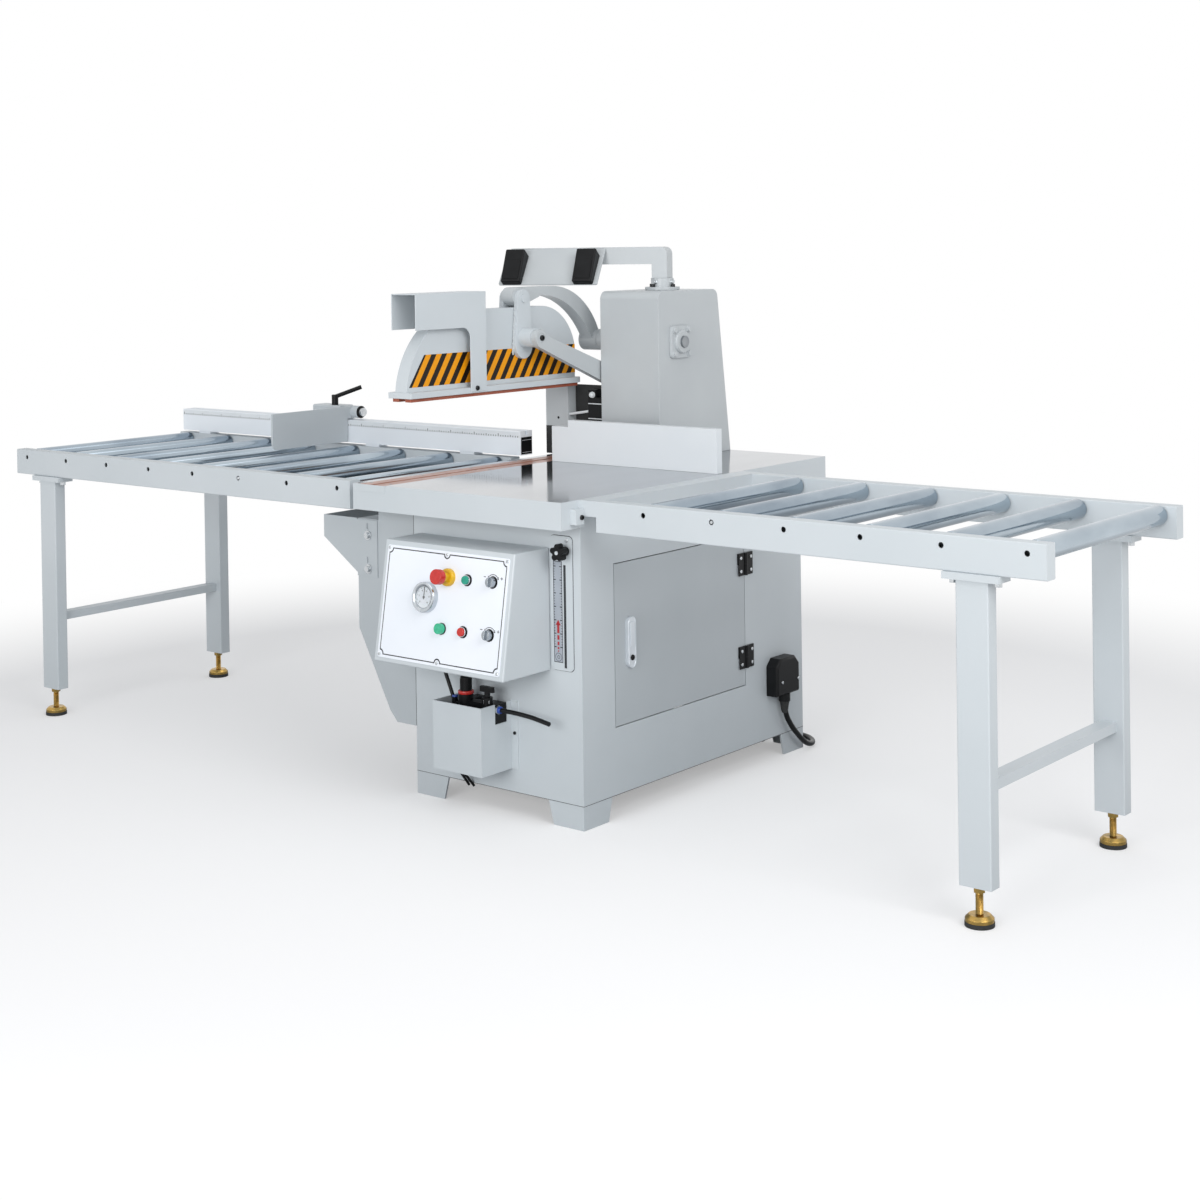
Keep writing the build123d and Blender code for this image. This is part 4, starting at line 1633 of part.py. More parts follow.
def cord(points, diameter):
    """A round cord along straight runs and tangent arcs, each arc as large as its runs allow."""
    corners = [Vector(*point) for point in points]
    radii = []
    for before, corner, after in zip(corners, corners[1:], corners[2:]):
        turn = math.radians((corner - before).get_angle(after - corner))
        shorter = min((corner - before).length, (after - corner).length)
        radii.append(0.45 * shorter / math.tan(turn / 2))
    path = FilletPolyline(*points, radius=radii)
    section = Plane(path @ 0, z_dir=path % 0) * Circle(diameter / 2)
    tube = sweep(section, path=path)
    expected = math.pi * diameter**2 / 4 * path.length
    print("cord radii", [round(radius) for radius in radii])
    print("cord length", round(path.length))
    print("cord volume over section times length", round(tube.volume / expected, 4))
    return tube


def hose_route():
    x, y, z = HOSE_START
    steps = [(0, 0, 0), (40, 0, 0), (84, -1, -1.5), (128, -3, -5), (170, -6, -11)]
    return [(x + dx, y + dy, z + dz) for dx, dy, dz in steps]


def air_hose():
    """Short supply hose with a plain cut end."""
    return [cord(hose_route(), HOSE_D)]


SOCKET_Y1 = CAB_BACK - SOCKET_BACK
SOCKET_UNDER = CAB_CLEAR + SOCKET_ABOVE_CAB
GLAND_PLACE = (CAB_X1 + SOCKET_X / 2, SOCKET_Y1 - GLAND_FROM_BACK)
COIL_LOW = LEAD_D / 2 + TIE_T + 2 * CURVED_GAP
COIL_PITCH = LEAD_D + COIL_GAP


def power_socket():
    """Power inlet box on the cabinet's side, with the gland that its lead leaves by."""
    y = (SOCKET_Y1 - SOCKET_Y, SOCKET_Y1)
    box = block(CAB_X1, CAB_X1 + SOCKET_X, *y, SOCKET_UNDER, SOCKET_UNDER + SOCKET_Z)
    shoulders = box.edges().filter_by(Axis.X).group_by(Axis.Z)[-1]
    box = chamfer(shoulders, SOCKET_SHOULDER)
    box = chamfer(box.faces().sort_by(Axis.X)[-1].edges(), SOCKET_ROUND)
    return [box, rod_z(*GLAND_PLACE, SOCKET_UNDER - GLAND_Z, SOCKET_UNDER, GLAND_D / 2)]


def lead_route():
    """From the socket's gland down, round behind the corner foot and along the floor to the coil."""
    x, y = GLAND_PLACE
    z = SOCKET_UNDER - GLAND_Z
    low, back = COIL_LOW, COIL_BACK_Y
    return [
        (x, y, z), (x, y, z - 34), (x + 5, y + 28, z - 80), (x + 8, y + 64, z - 116),
        (x + 7, y + 104, z - 146), (x, y + 148, low), (x - 25, y + 187, low),
        (x - 69, back - 4, low), (x - 139, back, low), (COIL_X + LEAD_D, back, low),
    ]


def power_lead():
    """Black lead from the power box to the coil behind the cabinet."""
    return [cord(lead_route(), LEAD_D)]


def coil_path():
    """Half turns that wind inwards, one that climbs a layer, and the same half turns out again."""
    radii = [COIL_R - COIL_PITCH / 2 * index for index in range(COIL_HALF_TURNS + 1)]
    y, z, side = COIL_BACK_Y, COIL_LOW, -1
    edges = [Line((COIL_X + LEAD_D, y, z), (COIL_X, y, z))]
    for index, radius in enumerate(radii + radii[-2::-1]):
        climb = COIL_PITCH if index == COIL_HALF_TURNS else 0.0
        end_y, end_z = y + 2 * radius * side, z + climb
        bulge = math.hypot(radius, climb / 2) * side
        middle = (COIL_X + bulge, (y + end_y) / 2, (z + end_z) / 2)
        edges.append(ThreePointArc((COIL_X, y, z), middle, (COIL_X, end_y, end_z)))
        y, z, side = end_y, end_z, -side
    edges.append(Line((COIL_X, y, z), (COIL_X + LEAD_D, y, z)))
    return Wire(edges)


def least_gap(path, diameter, samples=800):
    """The least space between a tube's turns, measured on points along its middle line."""
    points = [tuple(path @ (index / samples)) for index in range(samples + 1)]
    apart = int(3 * diameter * samples / path.length)
    nearest = min(
        math.dist(first, second)
        for index, first in enumerate(points)
        for second in points[index + apart:]
    )
    return nearest - diameter


def coil_tie():
    """Flat strap round the four strands at the coil's right."""
    near, far = COIL_R - COIL_PITCH * 1.5, COIL_R - COIL_PITCH / 2
    x = (COIL_X + near - LEAD_D / 2 - TIE_GAP, COIL_X + far + LEAD_D / 2 + TIE_GAP)
    z = (COIL_LOW - LEAD_D / 2 - CURVED_GAP, COIL_LOW + COIL_PITCH + LEAD_D / 2 + CURVED_GAP)
    middle = COIL_BACK_Y - COIL_R
    y = (middle - TIE_Y / 2, middle + TIE_Y / 2)
    return block(x[0] - TIE_T, x[1] + TIE_T, *y, z[0] - TIE_T, z[1] + TIE_T) - block(*x, *y, *z)


def lead_coil():
    """The lead's rest, wound into a flat two-layer coil and held by a strap."""
    path = coil_path()
    tube = sweep(Plane(path @ 0, z_dir=path % 0) * Circle(LEAD_D / 2), path=path)
    expected = math.pi * LEAD_D**2 / 4 * path.length
    print("coil length", round(path.length), "least gap", round(least_gap(path, LEAD_D), 2))
    print("coil volume over section times length", round(tube.volume / expected, 4))
    return [tube, coil_tie()]


def nodes():
    """Every sub-part by its name."""
    roller_gap = ROLLER_END_GAP
    left_y = (LEFT_RAIL_FRONT + RAIL_WIDTH + roller_gap, LEFT_RAIL_BACK - roller_gap)
    right_y = (RIGHT_RAIL_FRONT + RAIL_WIDTH + roller_gap, RIGHT_RAIL_BACK - roller_gap)
    made = {f"left_roller_{index}": roller(x, *left_y) for index, x in enumerate(LEFT_PLACES, 1)}
    made.update({f"right_roller_{index}": roller(x, *right_y) for index, x in enumerate(RIGHT_PLACES, 1)})
    made.update(
        left_roller_frame=left_roller_frame(),
        right_roller_frame=right_roller_frame(),
        levelling_feet=levelling_feet(),
        fasteners=fasteners(),
        machine_table=machine_table(),
        table_insert=table_insert(),
        cabinet=cabinet(),
        door_panel=door_panel(),
        saw_chamber=saw_chamber(),
        right_fence=right_fence(),
        left_fence=left_fence(),
        stop_carriage=stop_carriage(),
        stop_plate=stop_plate(),
        clamp_lever=clamp_lever(),
        column=column(),
        upper_arm=upper_arm(),
        press_rod=press_rod(),
        air_cylinders=air_cylinders(),
        lower_arm=lower_arm(),
        hood_shell=hood_shell(),
        clamp_pad=clamp_pad(),
        saw_arm=saw_arm(),
        drive_belt=drive_belt(),
        spindle=spindle(),
        saw_blade=saw_blade(),
        motor_pulley=motor_pulley(),
        motor=motor(),
        saw_rod=saw_rod(),
        control_arm=control_arm(),
        left_palm_switch=palm_switch(-1),
        right_palm_switch=palm_switch(1),
        front_plates=front_plates(),
        emergency_stop=emergency_stop(),
        start_button=push_button("start_button"),
        stop_button=push_button("stop_button"),
        feed_knob=panel_knob("feed_knob"),
        return_knob=panel_knob("return_knob"),
        gauge_needle=gauge_needle(),
        star_knob=star_knob(),
        air_unit=air_unit(),
        regulator_knob=regulator_knob(),
        air_valve_lever=air_valve_lever(),
        air_hose=air_hose(),
        power_socket=power_socket(),
        power_lead=power_lead(),
        lead_coil=lead_coil(),
    )
    return made


os.makedirs("parts", exist_ok=True)
for node_name, pieces in nodes().items():
    solids = [solid for piece in pieces for solid in piece.solids()]
    export_step(solids[0] if len(solids) == 1 else Compound(children=solids), f"parts/{node_name}.step")
print("arm swing", round(math.degrees(ARM_SWING), 3), "saw swing", round(math.degrees(2 * SAW_HALF_SWING), 3))
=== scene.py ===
"""A pneumatic cut-off saw between two roller tables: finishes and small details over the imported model."""
import json
import math

import bmesh
import bpy
from mathutils import Matrix, Vector

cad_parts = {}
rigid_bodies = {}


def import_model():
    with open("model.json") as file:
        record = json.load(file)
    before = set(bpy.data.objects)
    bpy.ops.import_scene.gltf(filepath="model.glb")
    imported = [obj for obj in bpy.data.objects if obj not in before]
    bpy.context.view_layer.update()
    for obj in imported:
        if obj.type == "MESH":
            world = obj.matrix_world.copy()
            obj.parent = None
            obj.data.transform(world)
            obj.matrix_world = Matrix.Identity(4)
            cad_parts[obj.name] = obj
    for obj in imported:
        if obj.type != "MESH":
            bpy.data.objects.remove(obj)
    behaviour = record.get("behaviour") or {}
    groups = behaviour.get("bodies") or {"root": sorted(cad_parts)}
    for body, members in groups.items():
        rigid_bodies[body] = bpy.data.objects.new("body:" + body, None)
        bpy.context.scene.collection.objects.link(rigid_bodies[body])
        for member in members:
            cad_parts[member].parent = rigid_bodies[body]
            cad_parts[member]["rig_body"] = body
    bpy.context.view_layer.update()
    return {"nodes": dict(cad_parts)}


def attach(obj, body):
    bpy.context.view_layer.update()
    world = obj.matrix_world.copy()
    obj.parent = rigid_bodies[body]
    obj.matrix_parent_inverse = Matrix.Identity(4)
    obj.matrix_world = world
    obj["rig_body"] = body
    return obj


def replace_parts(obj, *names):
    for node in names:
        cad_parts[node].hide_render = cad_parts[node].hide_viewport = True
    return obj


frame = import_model()

# Sizes in millimetres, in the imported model's frame
MM = 0.001
TABLE_TOP = 860.0
BLADE_X = -137.0
HOOD_FACE = 22.0
SWIVEL = (95.0, 462.0)
BOOM_HEADING = 196.5
CAB_LEFT = -75.0
CAB_RIGHT = 521.0
CAB_FRONT = -470.0
CAB_BACK = 563.0
PANEL_FOOT = (-47.0, -659.0, 404.0)
PANEL_UP = Vector((0.0, 0.16642, 0.98606))
PANEL_OUT = Vector((0.0, -0.98606, 0.16642))
PANEL_T = 2.0
PIVOT = (407.0, 1213.0)
LINK_EYE = (35.0, 1237.0)
X, Y, Z = Vector((1, 0, 0)), Vector((0, 1, 0)), Vector((0, 0, 1))


# Finishes

def linear(code):
    """An sRGB hex colour as linear red, green, blue and full cover."""
    parts = [int(code[index:index + 2], 16) / 255 for index in (1, 3, 5)]
    return (*(part / 12.92 if part <= 0.04045 else ((part + 0.055) / 1.055) ** 2.4 for part in parts), 1.0)


def add_node(tree, kind, links=None, **settings):
    """Adds a node with its settings, and sets or links each named socket."""
    node = tree.nodes.new(kind)
    for key, value in settings.items():
        setattr(node, key, value)
    for socket, value in (links or {}).items():
        if isinstance(value, bpy.types.NodeSocket):
            tree.links.new(value, node.inputs[socket])
        else:
            node.inputs[socket].default_value = value
    return node


def new_finish(name):
    """An empty material and the piece's own coordinates."""
    material = bpy.data.materials.new(name)
    material.use_nodes = True
    material.node_tree.nodes.clear()
    return material, material.node_tree, add_node(material.node_tree, "ShaderNodeTexCoord").outputs["Object"]


def noise(tree, where, size_mm, detail):
    """Soft random clouds of a size in millimetres."""
    return add_node(
        tree, "ShaderNodeTexNoise", {"Vector": where, "Scale": 1 / (size_mm * MM), "Detail": detail}
    ).outputs[0]


def ramp(tree, share, low, high):
    """A value that follows a share from low to high."""
    return add_node(tree, "ShaderNodeMapRange", {"Value": share, "To Min": low, "To Max": high}).outputs[0]


def mix(tree, share, first, second):
    """One colour that goes over to another by a share."""
    return add_node(tree, "ShaderNodeMix", {0: share, 6: first, 7: second}, data_type="RGBA").outputs[2]


def two_tone(
    name, light, dark, patch_mm, grain_mm, depth_mm, rough, metallic=0.0, stretch=(1, 1, 1), **shader
):
    """A finish of two close colours in soft patches, with a fine grain that catches the light."""
    material, tree, where = new_finish(name)
    spread = add_node(tree, "ShaderNodeMapping", {"Vector": where, "Scale": stretch}).outputs[0]
    patches = noise(tree, spread, patch_mm, 4.0)
    grain = noise(tree, spread, grain_mm, 2.0)
    share = add_node(
        tree, "ShaderNodeMapRange", {"Value": patches, "From Min": 0.3, "From Max": 0.7}
    ).outputs[0]
    colour = mix(tree, share, linear(light), linear(dark))
    gloss = ramp(tree, share, *rough)
    bump = add_node(
        tree, "ShaderNodeBump", {"Height": grain, "Strength": 0.6, "Distance": depth_mm * MM}
    ).outputs[0]
    sockets = {"Base Color": colour, "Roughness": gloss, "Normal": bump, "Metallic": metallic, **shader}
    surface = add_node(tree, "ShaderNodeBsdfPrincipled", sockets)
    add_node(tree, "ShaderNodeOutputMaterial", {"Surface": surface.outputs[0]})
    return material


# Grey powder coat, baked on sheet steel: a soft satin sheen over a faint orange peel
powder_coat = two_tone("grey_powder_coat", "#C9CFD3", "#C2C9CD", 420, 3.0, 0.12, (0.36, 0.44))
# The same coat on door and chamber, a shade darker: painted shade for the shadow that the tables above cast
# on them
painted_shade_coat = two_tone("powder_coat_with_painted_shade", "#BBC1C5", "#B4BBBF", 420, 3.0, 0.12, (0.36, 0.44))
# The same coat on the column and arms, laid over castings and filler and a little glossier; a little darker
# as painted shade for the shade on the column's front and the boom
casting_paint_with_painted_shade = two_tone("casting_paint_with_painted_shade", "#C0C5C7", "#B8BDC0", 300, 5.0, 0.2, (0.30, 0.38))
# White enamel of the machined fence: nearly white and even
fence_enamel = two_tone("white_enamel", "#E2E6E9", "#DCE1E5", 350, 3.0, 0.08, (0.32, 0.40))
# White printed aluminium film of the panel: bluish white, smooth
panel_film = two_tone("printed_panel_film", "#EEF2F8", "#E9EEF5", 200, 2.0, 0.02, (0.28, 0.34))
# Ground steel of the table top: fine lines along its length, polished by use, with faint grey clouds
ground_steel = two_tone(
    "ground_table_steel", "#A7ABB0", "#9B9FA4", 260, 2.2, 0.01, (0.06, 0.11), 1.0, (2.0, 0.6, 1.0)
)
# Zinc plated roller tube: bright and bluish, with light and dark streaks along it that are painted
# reflections of the surroundings
zinc_with_painted_reflections = two_tone(
    "zinc_tube_with_painted_reflections", "#B9C5CE", "#8F9CA8", 130, 4.0, 0.02, (0.10, 0.22), 1.0, (1.0, 0.35, 1.0)
)
# Zinc plated bolts: pale and bright
bright_zinc = two_tone("zinc_plated_bolt", "#D5D8DA", "#BFC4C8", 8, 1.5, 0.03, (0.20, 0.32), 1.0)
# Yellow passivated zinc of the feet: gold that drifts to green and brown
golden_zinc = two_tone("yellow_passivated_zinc", "#C9A45C", "#8F7A48", 18, 2.0, 0.03, (0.24, 0.38), 1.0)
# Blackened screws: dark oiled oxide
black_oxide = two_tone("black_oxide_steel", "#1C1D1F", "#2A2B2D", 6, 1.2, 0.03, (0.30, 0.45), 0.6)
# Drawn aluminium of the long fence: silver, with fine draw lines along it
drawn_aluminium = two_tone(
    "anodised_aluminium", "#E4E9EE", "#DAE0E6", 220, 1.8, 0.02, (0.28, 0.36), 0.45, (0.05, 1.0, 1.0)
)
# Pale anodised face of the long fence: nearly white, with draw lines along it
fence_silver = two_tone(
    "pale_anodised_aluminium", "#F3F7FB", "#E9EFF5", 220, 1.8, 0.02, (0.30, 0.38), 0.12, (0.05, 1.0, 1.0)
)
# Chrome of button rims and piston rods: hard and mirror bright
chrome = two_tone("chrome_plate", "#E2E4E6", "#CFD2D5", 12, 2.0, 0.01, (0.06, 0.12), 1.0)
# Polished nickel of the gauge's rim: paler than the knobs
bright_nickel = two_tone("bright_nickel_plate", "#CDD2D7", "#BBC1C7", 14, 2.0, 0.01, (0.12, 0.20), 1.0)
# Nickel of the turning knobs: darker and softer than chrome
satin_nickel = two_tone("satin_nickel_plate", "#B2B8BE", "#9CA3AA", 14, 2.0, 0.01, (0.18, 0.27), 1.0)
# Hard resin board of the insert and the pressure pad: red-brown, with pressed fibres and pale scuffs
resin_board = two_tone(
    "red_resin_board", "#A65A41", "#8F4630", 45, 1.6, 0.15, (0.42, 0.55), 0.0, (2.5, 0.5, 1.0)
)
# The same board on the table, paler with ground-in dust and rubbed smooth
dusty_board = two_tone(
    "dusty_resin_board", "#BC8B7A", "#A97765", 60, 1.6, 0.10, (0.26, 0.40), 0.0, (2.5, 0.5, 1.0)
)
# Moulded black plastic of switches, knobs and hinges: deep black with a fine moulded grain
black_plastic = two_tone(
    "black_moulded_plastic", "#0B0C0E", "#121315", 30, 1.4, 0.05, (0.34, 0.44), **{"Specular IOR Level": 0.22}
)
# Coloured button plastics: glossy mouldings
red_plastic = two_tone("red_button_plastic", "#C9302B", "#B92823", 10, 2.0, 0.02, (0.18, 0.26))
green_plastic = two_tone("green_button_plastic", "#1FA088", "#188E78", 10, 2.0, 0.02, (0.18, 0.26))
yellow_plastic = two_tone("yellow_collar_plastic", "#E0B322", "#D4A61A", 12, 2.0, 0.02, (0.24, 0.32))
blue_plastic = two_tone("blue_fitting_plastic", "#2F4FA8", "#28448F", 8, 2.0, 0.02, (0.22, 0.30))
# Lamp lens: pale green moulded acrylic, lit a little from behind
lamp_lens = two_tone(
    "green_lamp_acrylic", "#45C79C", "#33B78B", 9, 3.0, 0.05, (0.10, 0.16), **{"Transmission Weight": 0.15}
)
# Black rubber of feet, sleeve, guard and seams: dull
rubber = two_tone("black_rubber", "#202122", "#2B2C2C", 14, 1.5, 0.10, (0.62, 0.75))
# Soft black sheath of lead and hose: slightly glossy
black_sheath = two_tone(
    "black_cable_sheath", "#0A0B0C", "#101113", 40, 2.5, 0.04, (0.26, 0.34), **{"Specular IOR Level": 0.3}
)
# Raw machined steel inside the machine: grey, with tool marks
machined_steel = two_tone("machined_steel", "#9DA1A5", "#868B90", 40, 2.0, 0.04, (0.28, 0.42), 1.0)
# Hardened blade: fine rings from grinding
blade_steel = two_tone("ground_blade_steel", "#BEC2C5", "#A8ADB1", 60, 1.6, 0.02, (0.16, 0.26), 1.0)
# Motor casting: grey-green enamel
motor_enamel = two_tone("motor_enamel", "#7F8A90", "#747F85", 60, 3.0, 0.15, (0.40, 0.50))
# Woven drive belt: dull black rubber over cord
belt_rubber = two_tone("drive_belt_rubber", "#2A2A2B", "#363637", 12, 1.5, 0.10, (0.60, 0.72))
# Screen inks on panel and scales: thin and matt
black_ink = two_tone("black_screen_ink", "#26282C", "#303237", 6, 1.0, 0.01, (0.45, 0.55))
red_ink = two_tone("red_screen_ink", "#B3262A", "#A31F24", 6, 1.0, 0.01, (0.45, 0.55))
# White moulded nylon of tubes and their push-in fittings: milky
white_nylon = two_tone("white_nylon", "#DDE1E3", "#D2D7DA", 12, 2.0, 0.03, (0.30, 0.40))
# Dial glass: clear, only its glints show
dial_glass = two_tone(
    "clear_dial_glass", "#FFFFFF", "#FAFCFC", 20, 4.0, 0.002, (0.02, 0.04),
    **{"Transmission Weight": 1.0, "IOR": 1.45},
)
# Printed steel tape of the fence: white lacquer
tape_lacquer = two_tone("white_tape_lacquer", "#E8ECEF", "#E0E5E9", 60, 2.0, 0.01, (0.30, 0.38))
# Brushed tin strip of the depth scale: plain grey
scale_tin = two_tone("grey_scale_tin", "#AEB4BC", "#A5ABB4", 40, 1.8, 0.01, (0.34, 0.44), 0.2)

# Stripes of the warning tape, in millimetres along the hood
STRIPE_PITCH = 43.4
STRIPE_LEAN = math.radians(56.6)
STRIPE_SHIFT = 15.0


def hazard_tape():
    """Adhesive warning tape: amber and black stripes that lean back, under a satin film with fine scuffs."""
    material, tree, where = new_finish("amber_black_warning_tape")
    lean = (0, 1, -1 / math.tan(STRIPE_LEAN))
    across = add_node(
        tree, "ShaderNodeVectorMath", {0: where, 1: lean}, operation="DOT_PRODUCT"
    ).outputs["Value"]
    turns = add_node(
        tree, "ShaderNodeMath", {0: across, 1: 1 / (STRIPE_PITCH * MM), 2: STRIPE_SHIFT / STRIPE_PITCH},
        operation="MULTIPLY_ADD",
    ).outputs[0]
    part = add_node(tree, "ShaderNodeMath", {0: turns}, operation="FRACT").outputs[0]
    black = add_node(tree, "ShaderNodeMath", {0: part, 1: 0.5}, operation="LESS_THAN").outputs[0]
    scuffs = noise(tree, where, 9, 5.0)
    amber = mix(tree, scuffs, linear("#F2A20C"), linear("#E79307"))
    colour = mix(tree, black, amber, linear("#171310"))
    gloss = ramp(tree, scuffs, 0.30, 0.46)
    sockets = {"Base Color": colour, "Roughness": gloss, "Specular IOR Level": 0.22}
    surface = add_node(tree, "ShaderNodeBsdfPrincipled", sockets)
    add_node(tree, "ShaderNodeOutputMaterial", {"Surface": surface.outputs[0]})
    return material


warning_tape = hazard_tape()


# Shaping tools

def mm(*values):
    return Vector(values) * MM


def facing(at, axis, turn=0.0):
    """A placing whose Z runs along an axis, at a point in millimetres."""
    aim = axis.to_track_quat("Z", "Y").to_matrix().to_4x4()
    return Matrix.Translation(mm(*at)) @ aim @ Matrix.Rotation(turn, 4, "Z")


def lathe(bm, profile, at, axis, steps=32):
    """Spins a profile of (radius, height) in millimetres about an axis."""
    place = facing(at, axis)
    verts = [bm.verts.new(place @ mm(radius, 0, height)) for radius, height in profile]
    edges = [bm.edges.new(pair) for pair in zip(verts, verts[1:])]
    spun_axis = place.to_3x3() @ Z
    bmesh.ops.spin(
        bm, geom=verts + edges, cent=place.translation, axis=spun_axis, angle=2 * math.pi, steps=steps,
        use_merge=True,
    )


def soften(bm, edges, width, clamp=False):
    """Rounds edges by a width in millimetres."""
    bmesh.ops.bevel(
        bm, geom=edges, offset=width * MM, segments=2, profile=0.5, affect="EDGES", material=-1,
        clamp_overlap=clamp,
    )


def edges_of(verts):
    """Each edge at some corners once, in an order that is the same at every run."""
    return list(dict.fromkeys(edge for vert in verts for edge in vert.link_edges))


def slab(bm, low, high, bevel=0.0, place=None):
    """A bar between two corners in millimetres, with softened edges."""
    low, high = Vector(low), Vector(high)
    shape = Matrix.Translation((low + high) / 2 * MM) @ Matrix.Diagonal((*((high - low) * MM), 1.0))
    made = bmesh.ops.create_cube(bm, size=1.0, matrix=(place or Matrix()) @ shape)["verts"]
    if bevel:
        soften(bm, edges_of(made), bevel)


def hexagon(bm, across, low, high, at, axis, turn=0.0):
    """A hexagon head with its corners broken, by its width across the flats."""
    place = facing(at, axis, turn) @ Matrix.Translation(mm(0, 0, (low + high) / 2))
    radius = across / math.sqrt(3) * MM
    made = bmesh.ops.create_cone(
        bm, cap_ends=True, segments=6, radius1=radius, radius2=radius, depth=(high - low) * MM, matrix=place
    )["verts"]
    soften(bm, edges_of(made), 0.04 * across)


def finish_piece(bm, name, body, material, smooth=35.0):
    """Closes and shades a mesh, gives it its finish and the body that it moves with."""
    bmesh.ops.remove_doubles(bm, verts=bm.verts, dist=1e-6)
    bmesh.ops.recalc_face_normals(bm, faces=bm.faces)
    return as_object(bm, name, body, [material], smooth)


def as_object(bm, name, body, materials, smooth=35.0):
    """Makes a piece of a mesh, smooth over soft edges and crisp at corners, that rides on a body."""
    for face in bm.faces:
        face.smooth = True
    for edge in bm.edges:
        edge.smooth = len(edge.link_faces) == 2 and edge.calc_face_angle() < math.radians(smooth)
    mesh = bpy.data.meshes.new(name)
    bm.to_mesh(mesh)
    bm.free()
    for material in materials:
        mesh.materials.append(material)
    piece = bpy.data.objects.new(name, mesh)
    bpy.context.scene.collection.objects.link(piece)
    even = piece.modifiers.new("even_shading", "WEIGHTED_NORMAL")
    even.keep_sharp = True
    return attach(piece, body)


def part_solids(bm):
    """Parts solids that only touch along an edge, so that each keeps its own closed skin."""
    crossing = [edge for edge in bm.edges if len(edge.link_faces) > 2]
    if not crossing:
        return
    bmesh.ops.split_edges(bm, edges=crossing)
    seen, skins = set(), []
    for first in bm.faces:
        if first in seen:
            continue
        seen.add(first)
        front, skin = [first], {}
        while front:
            face = front.pop()
            skin.update(dict.fromkeys(face.verts))
            for edge in face.edges:
                fresh = [other for other in edge.link_faces if other not in seen]
                seen.update(fresh)
                front += fresh
        skins.append(skin)
    for skin in skins:
        bmesh.ops.remove_doubles(bm, verts=[vert for vert in skin if vert.is_valid], dist=1e-6)


def dress(node, material, bevel=0.6, zones=(), smooth=35.0):
    """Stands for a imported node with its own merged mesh, softened edges and a finish for each zone."""
    source = frame["nodes"][node]
    bm = bmesh.new()
    bm.from_mesh(source.data)
    bmesh.ops.remove_doubles(bm, verts=bm.verts, dist=1e-6)
    part_solids(bm)
    bmesh.ops.dissolve_limit(bm, angle_limit=math.radians(0.4), verts=bm.verts, edges=bm.edges)
    for face in bm.faces:
        face.material_index = 0
        centre = face.calc_center_median() / MM
        for index, (holds, _) in enumerate(zones, 1):
            if holds(centre):
                face.material_index = index
    if bevel:
        sharp = [
            edge for edge in bm.edges
            if len(edge.link_faces) == 2 and edge.is_convex and edge.calc_face_angle() > math.radians(40)
        ]
        soften(bm, sharp, bevel, True)
    finishes = [material] + [zone[1] for zone in zones]
    piece = as_object(bm, node + "_finished", source["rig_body"], finishes, smooth)
    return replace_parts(piece, node)


# Stands, rollers and feet
LEFT_ROLLERS = [-1778 + 210 * index for index in range(8)]
RIGHT_ROLLERS = [747 + 208 * index for index in range(6)]
for side, places in (("left", LEFT_ROLLERS), ("right", RIGHT_ROLLERS)):
    for index in range(1, len(places) + 1):
        dress(f"{side}_roller_{index}", zinc_with_painted_reflections, 1.0)
dress("left_roller_frame", powder_coat, 1.2)
dress("right_roller_frame", powder_coat, 1.2)
dress("fasteners", bright_zinc, 0.6)
dress("levelling_feet", golden_zinc, 0.8, [(lambda point: point.z < 10.2, rubber)])

# Table, cabinet and saw chamber
HINGE_HEIGHTS = (323.2, 589.8)


def on_hinge(point):
    return point.x > CAB_RIGHT + 0.2 and 230 < point.y < 306 and any(
        abs(point.z - height) < 33 for height in HINGE_HEIGHTS
    )


def on_pull(point):
    return point.x > CAB_RIGHT + 0.2 and -290 < point.y < -250


dress("machine_table", powder_coat, 0.0, [(lambda point: point.z > TABLE_TOP - 0.5, ground_steel)])
dress("table_insert", dusty_board, 0.5)
dress("cabinet", powder_coat, 0.0, [(on_hinge, black_plastic)])
dress("door_panel", painted_shade_coat, 0.8, [(on_hinge, black_plastic), (on_pull, drawn_aluminium)])
dress("saw_chamber", painted_shade_coat, 0.0)
dress("right_fence", fence_enamel, 1.0)
dress("left_fence", fence_silver, 0.5)

# Length stop
dress("stop_carriage", powder_coat, 1.0, [(lambda point: point.x > -995, bright_zinc)])
dress("stop_plate", powder_coat, 1.2)
dress("clamp_lever", black_plastic, 2.0)

# Column, arms and hood
dress("column", casting_paint_with_painted_shade, 1.5)
dress("upper_arm", casting_paint_with_painted_shade, 7.0, [(lambda point: point.x > -26, machined_steel)])
dress("lower_arm", casting_paint_with_painted_shade, 2.0)
dress("hood_shell", powder_coat, 1.0)
dress("clamp_pad", resin_board, 0.6)

BOOM_ALONG = Vector((math.cos(math.radians(BOOM_HEADING)), math.sin(math.radians(BOOM_HEADING)), 0))
BOOM_FRONT = Vector((-BOOM_ALONG.y, BOOM_ALONG.x, 0))
TILT = math.radians(35)
PLATE_OUT = BOOM_FRONT * math.cos(TILT) + Z * math.sin(TILT)
PLATE_TOP = Vector((*SWIVEL, 1500.3 - 5)) + BOOM_FRONT * 27


def on_palm_case(point):
    return (point - PLATE_TOP).dot(PLATE_OUT) > 2.6 and (point - Vector((*SWIVEL, 0))).dot(BOOM_ALONG) > 100


dress("control_arm", casting_paint_with_painted_shade, 1.5, [(on_palm_case, black_plastic)])
dress("left_palm_switch", black_plastic, 0.8)
dress("right_palm_switch", black_plastic, 0.8)

# Drive inside the cabinet
dress("saw_arm", motor_enamel, 1.0)
dress("drive_belt", belt_rubber, 0.5)
dress("spindle", machined_steel, 0.6)
dress("saw_blade", blade_steel, 0.0)
dress("motor_pulley", machined_steel, 0.8)
dress("motor", motor_enamel, 1.0)
for node in ("saw_rod", "press_rod"):
    dress(node, chrome, 0.5)
dress("air_cylinders", drawn_aluminium, 1.0)

